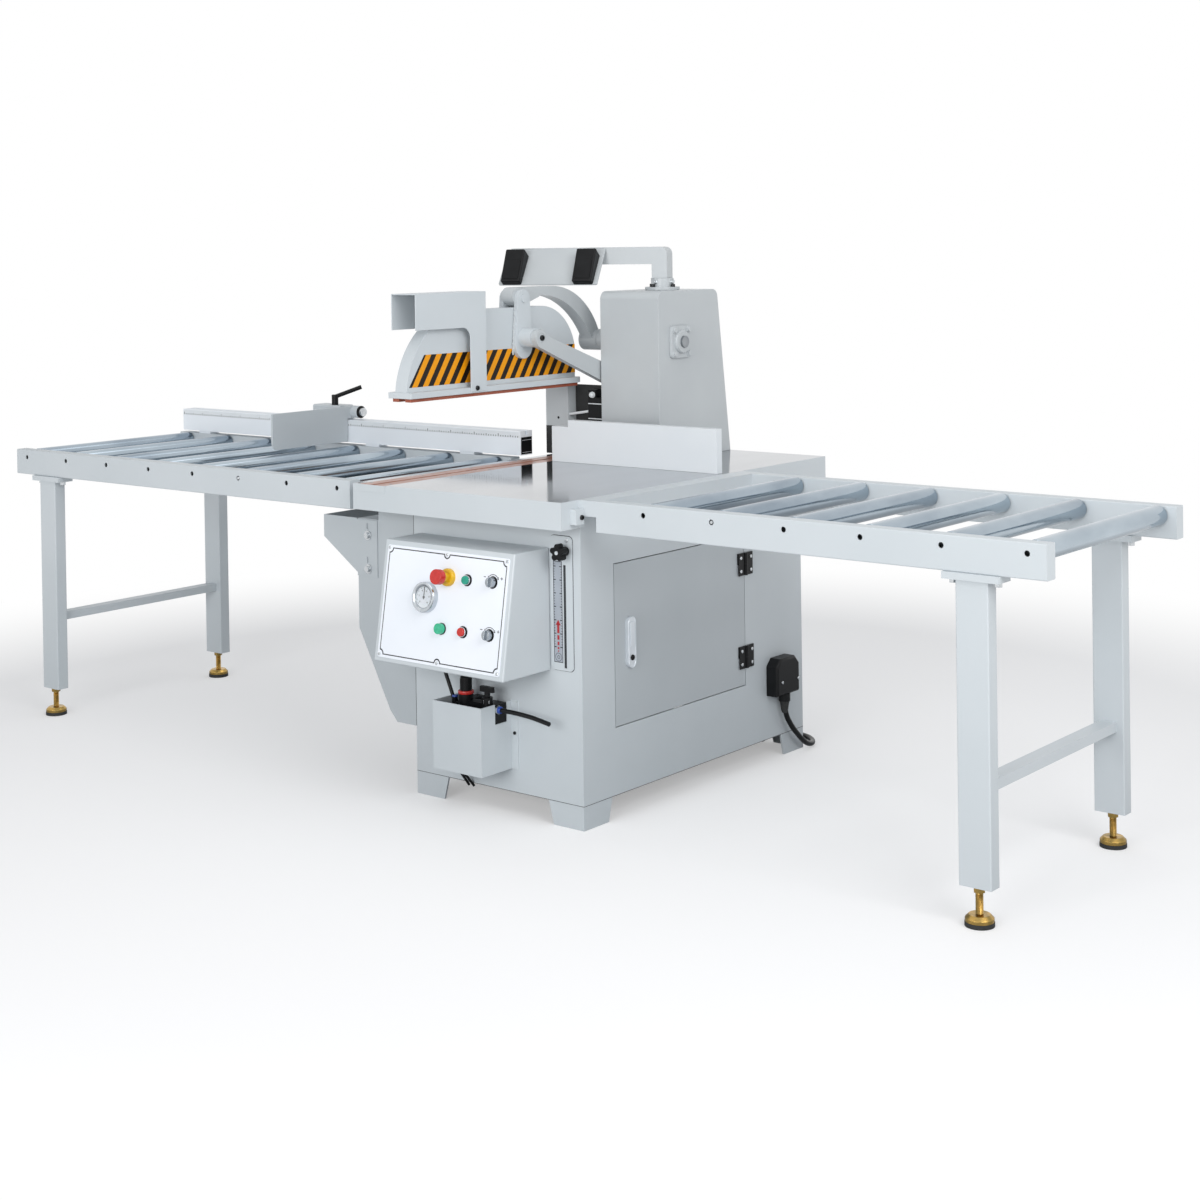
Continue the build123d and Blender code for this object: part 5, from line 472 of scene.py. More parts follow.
# Control panel
PANEL_PLACES = dict(
    emergency_stop=(245, 245), start_button=(311, 244), feed_knob=(399, 247), gauge=(173, 186),
    lamp=(237, 111), stop_button=(313, 111), return_knob=(404, 113),
)


def on_panel(x, up, out=0.0):
    """A point in millimetres on the panel's face, by its place from the box's left and up its slope."""
    return Vector(PANEL_FOOT) + X * x + PANEL_UP * up + PANEL_OUT * (PANEL_T + out)


def near_fitting(name, radius):
    """Holds for what stands out of the panel round a fitting's middle."""
    centre = on_panel(*PANEL_PLACES[name])

    def holds(point):
        offset = point - centre
        out = offset.dot(PANEL_OUT)
        return out > 0.3 and (offset - PANEL_OUT * out).length < radius

    return holds


dress(
    "front_plates", panel_film, 0.4,
    [
        (lambda point: point.x > 418 and point.z > 400, powder_coat),
        (near_fitting("emergency_stop", 26), yellow_plastic),
        (near_fitting("start_button", 16), chrome),
        (near_fitting("stop_button", 16), chrome),
        (near_fitting("gauge", 42), bright_nickel),
        (near_fitting("lamp", 17), lamp_lens),
    ],
)
dress("emergency_stop", red_plastic, 3.0)
dress("start_button", green_plastic, 1.0)
dress("stop_button", red_plastic, 1.0)
dress("feed_knob", satin_nickel, 1.0)
dress("return_knob", satin_nickel, 1.0)
dress("gauge_needle", black_ink, 0.0)
dress("star_knob", black_plastic, 2.0)

# Air unit and power socket
BIN_LOW, BIN_HIGH = Vector((105, -592, 125)), Vector((278, CAB_FRONT, 306))
AIR_OUTLET = Vector((278, -528, 292))


def on_bin(point):
    """Holds for the bin's own sheets and its fixing flange."""
    wall = 3.2
    outlet = abs(point.y - AIR_OUTLET.y) < 7.4 and abs(point.z - AIR_OUTLET.z) < 7.4
    right = point.x > BIN_HIGH.x - wall + 0.4 and not outlet
    return point.z > BIN_LOW.z - 0.2 and point.z < BIN_HIGH.z + 0.2 and (
        point.y < BIN_LOW.y + wall or BIN_LOW.x - 0.2 < point.x < BIN_LOW.x + wall or right
        or point.z < BIN_LOW.z + wall
    )


dress("air_unit", black_plastic, 0.0, [(on_bin, powder_coat)])
dress("regulator_knob", black_plastic, 1.0)
dress("air_valve_lever", black_plastic, 2.0)
dress("power_socket", black_plastic, 1.5)


# Small hardware

def pan_head(across, height, socket=0.0):
    """Profile of a screw head with a rounded rim, and a socket sunk in its middle."""
    radius = across / 2
    floor = [(0, height * 0.4), (socket / 2, height * 0.4), (socket / 2, height)] if socket else [(0, height)]
    return floor + [
        (radius * 0.8, height), (radius * 0.95, height * 0.86), (radius, height * 0.6), (radius, -0.2),
        (0, -0.2),
    ]


def turned(name, body, material, profile, places, axis, steps=20):
    """One turned shape, repeated at several places."""
    bm = bmesh.new()
    for at in places:
        lathe(bm, profile, at, axis, steps)
    return finish_piece(bm, name, body, material)


def bars(name, body, material, corners, bevel=0.3):
    """Several small bars of one finish, each between two corners."""
    bm = bmesh.new()
    for low, high in corners:
        slab(bm, low, high, bevel)
    return finish_piece(bm, name, body, material)


def press_flat(bm, data, place, flatten=1.0):
    """Adds the surface of a curve or a text, pressed flat and put in its place."""
    holder = bpy.data.objects.new("outline", data)
    mesh = bpy.data.meshes.new_from_object(holder)
    bpy.data.objects.remove(holder)
    bpy.data.curves.remove(data)
    mesh.transform(place @ Matrix.Diagonal((1, 1, flatten, 1)))
    bm.from_mesh(mesh)
    bpy.data.meshes.remove(mesh)


def ink_line(bm, points, width, place, closed=False, flatten=0.3):
    """A printed or raised line through flat points in millimetres."""
    curve = bpy.data.curves.new("line", "CURVE")
    curve.dimensions = "3D"
    spline = curve.splines.new("POLY")
    spline.points.add(len(points) - 1)
    for point, (x, y) in zip(spline.points, points):
        point.co = (*mm(x, y, 0), 1.0)
    spline.use_cyclic_u = closed
    curve.bevel_depth = width / 2 * MM
    curve.bevel_resolution = 1
    curve.use_fill_caps = True
    press_flat(bm, curve, place, flatten)


def arc(centre, radius, start, stop, steps=10):
    """Points along an arc, with its angles in degrees."""
    angles = [math.radians(start + (stop - start) * step / steps) for step in range(steps + 1)]
    return [(centre[0] + radius * math.cos(angle), centre[1] + radius * math.sin(angle)) for angle in angles]


# Hood: warning tape on both sides, the weld along the lug and the screws of channel and link
TAPE_OUTLINE = [(-439, 1118), (288, 1118), (288, 1205), (-377, 1207)]
TAPE_T = 0.5
WELD_X, WELD_Y, WELD_TOP = -112.2, 11, 1330
WELD_LEAN, WELD_LENGTH, WELD_LUMPS = 13, 140, 30
CHANNEL_FACE = 48.0
CHANNEL_SCREW = (-186, 1102)


def hood_tapes():
    bm = bmesh.new()
    for side in (1, -1):
        face = bm.faces.new([bm.verts.new(mm(BLADE_X + side * HOOD_FACE, y, z)) for y, z in TAPE_OUTLINE])
        grown = bmesh.ops.extrude_face_region(bm, geom=[face])["geom"]
        verts = [item for item in grown if isinstance(item, bmesh.types.BMVert)]
        bmesh.ops.translate(bm, verts=verts, vec=mm(side * TAPE_T, 0, 0))
    return finish_piece(bm, "hood_warning_tape", "hood", warning_tape)


def weld_bead():
    """A hand-laid weld: overlapping lumps of uneven size down the lug's front edge."""
    bm = bmesh.new()
    for step in range(WELD_LUMPS):
        share = step / (WELD_LUMPS - 1)
        waver = 1.2 * math.sin(step * 2.4)
        at = mm(WELD_X, WELD_Y - WELD_LEAN * share + waver, WELD_TOP - WELD_LENGTH * share)
        place = Matrix.Translation(at) @ Matrix.Diagonal((0.52, 1, 1, 1))
        radius = (4.6 + 0.7 * math.sin(step * 1.7)) * MM
        bmesh.ops.create_icosphere(bm, subdivisions=2, radius=radius, matrix=place)
    return as_object(bm, "lug_weld", "hood", [casting_paint_with_painted_shade], 60.0)


hood_tapes()
weld_bead()
for side, sign in (("right", 1), ("left", -1)):
    screw_place = (BLADE_X + sign * CHANNEL_FACE, *CHANNEL_SCREW)
    turned(f"channel_screw_{side}", "hood", black_oxide, pan_head(14, 5, 6), [screw_place], X * sign)
turned("link_screw", "lower_arm", black_oxide, pan_head(17, 6, 8), [(-31, *LINK_EYE)], X)

# Column: bearing bolts, swivel screws, valve stack behind the guard
bm = bmesh.new()
for y in (-36, 36):
    for z in (-36, 36):
        hexagon(bm, 15, -0.2, 8, (206, PIVOT[0] + y, PIVOT[1] + z), X, 0.3)
        lathe(bm, pan_head(22, 2.5), (206, PIVOT[0] + y, PIVOT[1] + z), X, 16)
lathe(bm, [(27, -0.2), (27, 5), (29, 6.5), (33, 6.5), (35, 5), (35, -0.2), (27, -0.2)], (206, *PIVOT), X)
finish_piece(bm, "bearing_bolts", "stand", casting_paint_with_painted_shade)
FLANGE_SCREWS = [math.radians(angle) for angle in (-5, 85, 175, 265)]
flange_places = [(SWIVEL[0] + 44 * math.cos(a), SWIVEL[1] + 44 * math.sin(a), 1377) for a in FLANGE_SCREWS]
turned("swivel_flange_screws", "stand", black_oxide, pan_head(13, 9, 6), flange_places, Z)
bm = bmesh.new()
for heading in (X, -Y):
    hexagon(bm, 11, 33, 44, (*SWIVEL, 1393), heading)
    lathe(bm, [(0, 33), (7.5, 33), (7.5, 36.5), (6.5, 37), (0, 37), (0, 33)], (*SWIVEL, 1393), heading, 20)
finish_piece(bm, "swivel_clamp_bolts", "stand", bright_zinc)
# Flat black disc on the guard: painted shade for the dark inside of a hole
turned("guard_hole", "stand", black_oxide, pan_head(8, 0.8), [(-198, 305, 973)], -Y)
VALVE_X, VALVE_Y = (-87, -57, -26), (315, 375)
bars(
    "valve_stack", "stand", black_plastic,
    [
        ((VALVE_X[0], VALVE_Y[0], 945), (VALVE_X[2], VALVE_Y[1], 973)),
        ((VALVE_X[0], VALVE_Y[0], 976), (VALVE_X[2], VALVE_Y[1], 1019)),
        ((VALVE_X[0], VALVE_Y[0], 1022), (VALVE_X[1], VALVE_Y[1], 1064)),
        ((VALVE_X[1], VALVE_Y[0], 1022), (VALVE_X[2], VALVE_Y[1], 1040)),
    ],
    1.0,
)
bars(
    "valve_gaskets", "stand", white_nylon,
    [((VALVE_X[0] + 1, VALVE_Y[0] - 0.6, z), (VALVE_X[2], VALVE_Y[1], z + 3)) for z in (973, 1019)], 0.2,
)
turned(
    "valve_port", "stand", white_nylon,
    [(0, 11), (5, 11), (8, 9), (8, 3), (9.5, 2.5), (9.5, -0.2), (0, -0.2)], [(-68, VALVE_Y[0], 1048)], -Y,
)
TUBE_START, TUBE_END = Vector((-159, 314, 985)), Vector((-87, 322, 996))
tube_run = TUBE_END - TUBE_START
tube_length = tube_run.length + 1
turned(
    "valve_tube", "stand", white_nylon, [(0, 0), (4.2, 0), (4.2, tube_length), (0, tube_length)],
    [TUBE_START], tube_run.normalized(), 16,
)
# Dark sheets in a black rubber finish behind the guard and the valve stack: painted shade filling the dark
# gap between guard and column
bars(
    "guard_shade_sheets", "stand", rubber,
    [((-159, 343, 862), (VALVE_X[1], 346, 1076)), ((VALVE_X[1], 343, 862), (VALVE_X[2], 346, 1040))], 0.3,
)
# Thin dark strip on the guard's lower front, below the fence's notch: painted shade
bars("guard_shade_strip", "stand", rubber, [((-248, 304, 861), (-160, 305, 947))], 0.2)

# Table insert: trim at its front end, and its countersunk screws
bars("insert_trim", "stand", powder_coat, [((-185.5, -566.5, 840), (-88.5, -565, 859.6))], 0.4)
insert_places = [(x, y, TABLE_TOP) for y in (-532, -330, -128, 74, 270) for x in (-174, -100)]
turned("insert_screws", "stand", machined_steel, pan_head(10, 0.5, 4), insert_places, Z, 16)

# Roller tables: bracket screw, two rail screws, and the threads of the feet
turned("bracket_screw", "stand", black_oxide, pan_head(13, 5, 6), [(558, -508, 818)], X)
turned("rail_screw_left", "stand", bright_zinc, pan_head(9, 4), [(LEFT_ROLLERS[5], -534, 836)], -Y)
turned("rail_screw_right", "stand", bright_zinc, pan_head(9, 4), [(RIGHT_ROLLERS[1], -493.5, 836)], -Y)
LEGS = [(-1669, -518), (-1669, 163), (1653, -477.5), (1653, 220)]
thread = [(0, 26)]
for step in range(23):
    thread += [(8.1, 26.2 + 2 * step), (8.9, 27.2 + 2 * step)]
thread += [(8.1, 73), (0, 73)]
turned("foot_threads", "stand", golden_zinc, thread, [(x, y, 0) for x, y in LEGS], Z, 20)

# Length stop: black ring behind the nut, the scale along the fence and the cap in the fence's end
turned(
    "stop_ring", "stop_plate", black_plastic,
    [(15, 0), (20.4, 0), (20.4, 2), (19.6, 2.8), (15, 2.8), (15, 0)], [(-931.7, 165.5, 968.05)], X, 32,
)
TAPE_Z = (923.0, 940.0)
bars("fence_tape", "stand", tape_lacquer, [((-1806, 137.4, TAPE_Z[0]), (-213, 138.2, TAPE_Z[1]))], 0.1)
bm = bmesh.new()
for step in range(159):
    x = -1801 + 10 * step
    length = 9.0 if step % 10 == 0 else 6.5 if step % 5 == 0 else 4.5
    slab(bm, (x - 1.2, 137.25, TAPE_Z[0] + 0.6), (x + 1.2, 137.6, TAPE_Z[0] + 0.6 + length))
finish_piece(bm, "fence_tape_marks", "stand", black_ink)
bars("fence_end_cap", "stand", black_plastic, [((-211, 141, 872), (-209.8, 190, 924))], 0.3)
cap_ribs = [((-210, 146, 914), (-209.2, 189, 915.6)), ((-210, 146, 877), (-209.2, 187, 878.4))]
bars("fence_cap_ribs", "stand", drawn_aluminium, cap_ribs, 0.1)

# Cabinet door and power socket: pull with its paddle and lock, hinge leaves, screws, and the lead's sleeve
PULL = facing((530, -270, 456.5), X)
bm = bmesh.new()
rim = arc((0, 53), 14, 0, 180) + arc((0, -53), 14, 180, 360)
ink_line(bm, rim, 3.0, PULL, True, 1.0)
slab(bm, (-9.5, -12, -0.2), (9.5, 54, 3.0), 1.4, PULL)
finish_piece(bm, "pull_paddle", "door", drawn_aluminium)
turned("pull_lock", "door", black_plastic, pan_head(15, 3.5, 4), [(530, -270, 416)], X, 24)
LEAF_X, LEAF_HALF = (524.8, 526.2), 32
for side, body, leaf_y in (("door", "door", (233, 261.5)), ("frame", "stand", (274.5, 303))):
    leaves = [
        ((LEAF_X[0], leaf_y[0], height - LEAF_HALF), (LEAF_X[1], leaf_y[1], height + LEAF_HALF))
        for height in HINGE_HEIGHTS
    ]
    bars(f"hinge_leaf_{side}", body, black_plastic, leaves, 0.4)
for side, body, screw_y in (("door", "door", 243), ("frame", "stand", 293)):
    hinge_screws = [(526, screw_y, height + z) for height in HINGE_HEIGHTS for z in (-19, 19)]
    turned(f"hinge_screws_{side}", body, bright_zinc, pan_head(10, 2.5, 3), hinge_screws, X, 16)
socket_places = [(561, 396.5, 229), (561, 479, 228)]
turned("socket_screws", "stand", bright_zinc, pan_head(9, 2.5, 3), socket_places, X, 16)
LEAD_START = Vector((541, 436, 166))
sleeve = [(8.2, 0), (14, 0), (14.5, 3)]
for step in range(5):
    drop = 5 + 5.2 * step
    ridge, groove = 13.4 - 0.8 * step, 11.8 - 0.8 * step
    sleeve += [(ridge, drop), (ridge, drop + 3), (groove, drop + 3.4), (groove, drop + 5)]
sleeve += [(8.9, 33), (8.2, 34), (8.2, 0)]
turned("lead_sleeve", "stand", rubber, sleeve, [LEAD_START], -Z, 28)

# Air unit: red lock ring and ribs of the regulator, push-in fittings, and the screw of the bin
REGULATOR, VALVE, AIR_NECK = (167.0, -528.0), (243.0, -528.0), 320.0
turned(
    "regulator_ring", "regulator_knob", red_plastic,
    [(15, 0.6), (20.8, 0.6), (21.6, 2), (21.6, 7.5), (20.6, 9), (15, 9), (15, 0.6)],
    [(*REGULATOR, AIR_NECK)], Z, 40,
)
KNOB_RIBS = 24
bm = bmesh.new()
for step in range(KNOB_RIBS):
    turn = Matrix.Rotation(2 * math.pi * step / KNOB_RIBS, 4, "Z")
    slab(bm, (15.0, -0.9, 11), (16.2, 0.9, 41), 0.3, Matrix.Translation(mm(*REGULATOR, AIR_NECK)) @ turn)
finish_piece(bm, "regulator_ribs", "regulator_knob", black_plastic)
bm = bmesh.new()
hexagon(bm, 21, 0.3, 7, AIR_OUTLET, X)
finish_piece(bm, "outlet_nut", "stand", bright_zinc)
turned(
    "outlet_collar", "stand", blue_plastic,
    [(6.2, 7), (9.6, 7), (9.6, 12), (8.6, 14.5), (6.2, 14.5), (6.2, 7)], [AIR_OUTLET], X, 28,
)
turned(
    "feed_collar", "stand", blue_plastic,
    [(0, 0), (8.4, 0), (8.4, 3), (7.4, 4.5), (0, 4.5), (0, 0)], [(126, AIR_OUTLET.y, BIN_HIGH.z)], Z, 24,
)
bm = bmesh.new()
hexagon(bm, 27, 304, 314, (*VALVE, 0), Z)
finish_piece(bm, "valve_nut", "stand", bright_zinc)
turned("bin_screw", "stand", black_oxide, pan_head(9, 3.5, 4), [(290, -473, 221)], -Y, 16)

# Control panel: printed border and marks, fixing screws, dial and rings of the fittings
SHEET_PLACE = Matrix((X, PANEL_UP, PANEL_OUT)).transposed().to_4x4()
SHEET_PLACE.translation = on_panel(0, 0) * MM
BORDER_X, BORDER_UP, BORDER_MIDDLE = (21.5, 441.5), (21.5, 303.0), 231.5


def panel_border():
    """Border line that steps round the six fixing screws."""
    (x0, x1), (low, high) = BORDER_X, BORDER_UP
    return (
        arc((x0, low), 12, 90, 0) + arc((BORDER_MIDDLE, low), 10, 180, 0) + arc((x1, low), 12, 180, 90)
        + arc((x1, high), 12, 270, 180) + arc((BORDER_MIDDLE, high), 10, 0, -180)
        + arc((x0, high), 12, 0, -90)
    )


def panel_print():
    bm = bmesh.new()
    ink_line(bm, panel_border(), 3.8, SHEET_PLACE, True)
    for name in ("feed_knob", "return_knob"):
        x, up = PANEL_PLACES[name]
        ink_line(bm, arc((x, up), 20, 138, 42), 1.8, SHEET_PLACE)
        for angle, turn in ((138, 1), (42, -1)):
            tip = arc((x, up), 20, angle + 18 * turn, angle + 18 * turn)[0]
            for reach in (17.5, 22.5):
                ink_line(bm, [arc((x, up), reach, angle, angle)[0], tip], 2.2, SHEET_PLACE)
        for side in (-1, 1):
            ink_line(bm, [(x + 29 * side - 4, up + 12), (x + 29 * side + 4, up + 12)], 1.8, SHEET_PLACE)
        ink_line(bm, [(x + 29, up + 8), (x + 29, up + 16)], 1.8, SHEET_PLACE)
    return finish_piece(bm, "panel_print", "stand", black_ink)


panel_print()
corner_x = (BORDER_X[0] - 1, BORDER_X[1] + 1)
corner_up = (BORDER_UP[0] - 1, BORDER_UP[1] + 1)
panel_screws = [on_panel(x, up) for x in corner_x for up in corner_up]
panel_screws += [on_panel(BORDER_MIDDLE, up) for up in BORDER_UP]
turned("panel_screws", "stand", bright_zinc, pan_head(9, 2.6, 3.2), panel_screws, PANEL_OUT, 18)
gauge_at = on_panel(*PANEL_PLACES["gauge"])
turned(
    "gauge_bezel", "stand", bright_nickel,
    [
        (28.2, 9), (28.2, 12.5), (29.4, 14.6), (32.5, 16.4), (35.5, 17.2), (38.4, 17.0), (40.0, 15.2),
        (40.4, 12), (40.4, 0), (28.2, 0), (28.2, 9),
    ],
    [gauge_at], PANEL_OUT, 56,
)
DIAL_FACE = 10.7
dial = [(0, DIAL_FACE), (28.1, DIAL_FACE), (28.1, 10.0), (0, 10.0)]
turned("gauge_dial", "stand", panel_film, dial, [gauge_at], PANEL_OUT, 48)
glass = [(0, 14.6), (28.3, 14.2), (28.3, 13.5), (0, 13.9)]
turned("gauge_glass", "stand", dial_glass, glass, [gauge_at], PANEL_OUT, 48)


def gauge_marks():
    """Plain ticks and numbers round the dial."""
    bm = bmesh.new()
    centre = PANEL_PLACES["gauge"]
    at = SHEET_PLACE @ Matrix.Translation(mm(0, 0, DIAL_FACE))
    for step in range(41):
        angle = 225 - 270 * step / 40
        inner = 22.5 if step % 4 == 0 else 24.5
        run = [arc(centre, reach, angle, angle)[0] for reach in (inner, 27)]
        ink_line(bm, run, 0.9 if step % 4 == 0 else 0.5, at)
        if step % 8 == 0:
            letters = bpy.data.curves.new("dial_number", "FONT")
            letters.body = str(step // 4)
            letters.size = 6.5 * MM
            letters.align_x, letters.align_y = "CENTER", "CENTER"
            letters.extrude = 0.15 * MM
            spot = arc(centre, 18.2, angle, angle)[0]
            press_flat(bm, letters, at @ Matrix.Translation(mm(*spot, 0.1)))
    return finish_piece(bm, "gauge_marks", "stand", black_ink)


gauge_marks()
# Black base rings round the start and stop buttons and the lamp; their black is partly painted shade for the
# dark ring at the fittings' right side
base_ring = [(12.5, 0), (15.4, 0), (15.4, 2.6), (14.6, 3.4), (12.5, 3.4), (12.5, 0)]
ring_places = [on_panel(*PANEL_PLACES[name]) for name in ("start_button", "stop_button", "lamp")]
turned("button_base_rings", "stand", black_plastic, base_ring, ring_places, PANEL_OUT, 36)
turned(
    "stop_collar", "stand", yellow_plastic,
    [(12, 0), (23.2, 0), (23.2, 9), (21.7, 12), (17, 13.5), (12, 13.5), (12, 0)],
    [on_panel(*PANEL_PLACES["emergency_stop"])], PANEL_OUT, 40,
)
knob_places = [on_panel(*PANEL_PLACES[name]) for name in ("feed_knob", "return_knob")]
turned(
    "knob_skirts", "stand", black_plastic,
    [(13.6, 0), (16, 0), (16, 1.2), (15.2, 2), (13.6, 2), (13.6, 0)], knob_places, PANEL_OUT, 36,
)

# Depth scale and seams: printed strip with ticks and a stepped red arrow, slot, a painted shadow line round
# the scale plate, and the cabinet's joints
SCALE_FACE = -473.0
SCALE_X, SCALE_Z, SCALE_CORNER = (421, 495), (408, 758), 12
SEAM = 0.4
ARROW_STEPS = [(-104, -101, 2), (-97, -92, 2.6), (-87, -78, 3), (-73, -61, 3.4), (-56, -33, 3.6)]
bars("depth_strip", "stand", scale_tin, [((431, SCALE_FACE - 0.4, 428), (461, SCALE_FACE, 692))], 0.1)
# Black fill inside the scale's slot: painted shade for its dark inside
bars("depth_slot", "stand", black_ink, [((465.2, -472.8, 415.4), (472.8, -470, 682.6))], 0.1)
SCALE_PLACE = facing((446, SCALE_FACE - 0.4, 560), -Y)


def depth_marks():
    bm = bmesh.new()
    ink_line(bm, [(-14, -131), (14, -131), (14, 131), (-14, 131)], 2.6, SCALE_PLACE, True)
    for step in range(32):
        height = -92 + 7 * step
        length, width = (7.5, 2.6) if step % 5 == 0 else (4.0, 1.4)
        for side in (-1, 1):
            ink_line(bm, [(side * 14, height), (side * (14 - length), height)], width, SCALE_PLACE)
    ink_line(bm, arc((0, -118), 10.5, 0, 360, 24), 1.2, SCALE_PLACE)
    ink_line(bm, arc((0, -118), 4, 0, 360, 12), 1.2, SCALE_PLACE)
    return finish_piece(bm, "depth_marks", "stand", black_ink)


def depth_arrow():
    bm = bmesh.new()
    for low, high, half in ARROW_STEPS:
        slab(bm, (-half, low, -0.1), (half, high, 0.4), 0.0, SCALE_PLACE)
    tip = SCALE_PLACE @ Matrix.Translation(mm(0, -30, 0.15))
    bmesh.ops.create_cone(
        bm, cap_ends=True, segments=3, radius1=9.5 * MM, radius2=9.5 * MM, depth=0.5 * MM, matrix=tip
    )
    return finish_piece(bm, "depth_arrow", "stand", red_ink)


def scale_shadow_line():
    """Shadow line round the scale plate, where it stands off the cabinet."""
    bm = bmesh.new()
    half_x, half_z = ((high - low) / 2 - SCALE_CORNER for low, high in (SCALE_X, SCALE_Z))
    outline = (
        arc((-half_x, -half_z), SCALE_CORNER, 270, 180) + arc((-half_x, half_z), SCALE_CORNER, 180, 90)
        + arc((half_x, half_z), SCALE_CORNER, 90, 0) + arc((half_x, -half_z), SCALE_CORNER, 0, -90)
    )
    ink_line(bm, outline, 3.0, facing((sum(SCALE_X) / 2, CAB_FRONT, sum(SCALE_Z) / 2), -Y), True)
    return finish_piece(bm, "scale_shadow_line", "stand", black_ink)


depth_marks()
depth_arrow()
scale_shadow_line()
bars(
    "cabinet_seams", "stand", rubber,
    [
        ((CAB_LEFT, CAB_FRONT - SEAM, 62.2), (CAB_RIGHT, CAB_FRONT, 63.4)),
        ((CAB_RIGHT, CAB_FRONT, 62.2), (CAB_RIGHT + SEAM, CAB_BACK, 63.4)),
        ((CAB_LEFT - 0.7, CAB_FRONT - SEAM, 187), (CAB_LEFT + 0.5, CAB_FRONT + 2.4, 780)),
    ],
    0.1,
)
turned("scale_screws", "stand", bright_zinc, pan_head(11, 3, 3), [(478, SCALE_FACE, 748)], -Y, 16)


# Free lead and hose

def cord_curve(name, points, diameter, body):
    """A smooth round cord through the control points of its route, in millimetres."""
    curve = bpy.data.curves.new(name, "CURVE")
    curve.dimensions = "3D"
    spline = curve.splines.new("NURBS")
    spline.points.add(len(points) - 1)
    for point, place in zip(spline.points, points):
        point.co = (*mm(*place), 1.0)
    spline.order_u = 3
    spline.use_endpoint_u = True
    spline.resolution_u = 8
    curve.bevel_depth = diameter / 2 * MM
    curve.bevel_resolution = 6
    curve.use_fill_caps = True
    curve.materials.append(black_sheath)
    piece = bpy.data.objects.new(name, curve)
    bpy.context.scene.collection.objects.link(piece)
    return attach(piece, body)


HOSE_D = 12.0
HOSE_START = Vector((292, -528, 292))
HOSE_STEPS = [(0, 0, 0), (40, 0, 0), (84, -1, -1.5), (128, -3, -5), (170, -6, -11)]
hose = cord_curve("supply_hose", [HOSE_START + Vector(step) for step in HOSE_STEPS], HOSE_D, "stand")
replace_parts(hose, "air_hose")

LEAD_D = 16.0
FLOOR_Z = 10.1
COIL_CENTRE_X = 284.0
COIL_BACK = 652.0
LEAD_STEPS = [(0, 0, 0), (0, 0, -34), (5, 28, -80), (8, 64, -116), (7, 104, -146)]
LEAD_FLOOR = [(541, 584), (516, 623), (472, 648), (402, COIL_BACK), (300, COIL_BACK)]
COIL_RADII = [105 - 8.5 * index for index in range(5)]
COIL_CLIMB = 17.0
COIL_SWELL = 1.012
ARC_POINTS = 7


def coil_points():
    """Half turns that wind inwards, one that climbs a layer, and the same half turns out again."""
    points = []
    y, z, side = COIL_BACK, FLOOR_Z, -1
    for index, radius in enumerate(COIL_RADII + COIL_RADII[-2::-1]):
        climb = COIL_CLIMB if index == len(COIL_RADII) - 1 else 0.0
        middle_y = y + radius * side
        start = math.pi / 2 if side < 0 else -math.pi / 2
        for step in range(ARC_POINTS):
            share = step / ARC_POINTS
            angle = start + math.pi * share
            x = COIL_CENTRE_X + radius * COIL_SWELL * math.cos(angle)
            points.append((x, middle_y + radius * COIL_SWELL * math.sin(angle), z + climb * share))
        y, z, side = y + 2 * radius * side, z + climb, -side
    return points + [(COIL_CENTRE_X, y, z), (COIL_CENTRE_X + LEAD_D, y, z)]


lead_points = [LEAD_START + Vector(step) for step in LEAD_STEPS] + [(x, y, FLOOR_Z) for x, y in LEAD_FLOOR]
lead = cord_curve("power_lead_sheath", lead_points + coil_points(), LEAD_D, "stand")
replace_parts(lead, "power_lead", "lead_coil")


def lead_tie():
    """Flat strap round the coil's strands, with its buckle on top."""
    bm = bmesh.new()
    low, high = Vector((353.5, 539.5, 0.6)), Vector((390.5, 554.5, 36.8))
    for x0, x1 in ((low.x, low.x + 1.5), (high.x - 1.5, high.x)):
        slab(bm, (x0, low.y, low.z), (x1, high.y, high.z), 0.3)
    for z0, z1 in ((low.z, low.z + 1.2), (high.z - 1.5, high.z)):
        slab(bm, (low.x, low.y, z0), (high.x, high.y, z1), 0.3)
    slab(bm, (366, low.y - 1, high.z - 0.5), (376, high.y + 1, high.z + 2.5), 0.6)
    return finish_piece(bm, "lead_tie", "stand", black_plastic)


tie = lead_tie()

# Stage, light and camera: sizes in metres
SHADOW_LIFT = 0.36
FADE_START, FADE_END = 1.3, 3.6
FLOOR_HALF, FLOOR_DROP = 30.0, 0.0005
FILL_LEVEL = 0.42


def floor_finish():
    """Pale studio floor: takes the shadow near the object and fades to the white sweep further off."""
    material, tree, where = new_finish("pale_studio_floor")
    distance = add_node(tree, "ShaderNodeVectorMath", {0: where}, operation="LENGTH").outputs["Value"]
    fade = add_node(
        tree, "ShaderNodeMapRange", {"Value": distance, "From Min": FADE_START, "From Max": FADE_END},
        interpolation_type="SMOOTHSTEP",
    ).outputs[0]
    path = add_node(tree, "ShaderNodeLightPath")
    lift = add_node(
        tree, "ShaderNodeMath", {0: path.outputs["Is Camera Ray"], 1: SHADOW_LIFT}, operation="MULTIPLY"
    ).outputs[0]
    cover = add_node(tree, "ShaderNodeMath", {0: fade, 1: lift}, operation="MAXIMUM").outputs[0]
    tone = mix(tree, path.outputs["Is Camera Ray"], linear("#C4C6C8"), linear("#FCFCFD"))
    matt = add_node(tree, "ShaderNodeBsdfDiffuse", {"Color": tone})
    white = add_node(tree, "ShaderNodeEmission", {"Color": (1, 1, 1, 1), "Strength": 1.0})
    blend = add_node(tree, "ShaderNodeMixShader", {0: cover, 1: matt.outputs[0], 2: white.outputs[0]})
    add_node(tree, "ShaderNodeOutputMaterial", {"Surface": blend.outputs[0]})
    return material


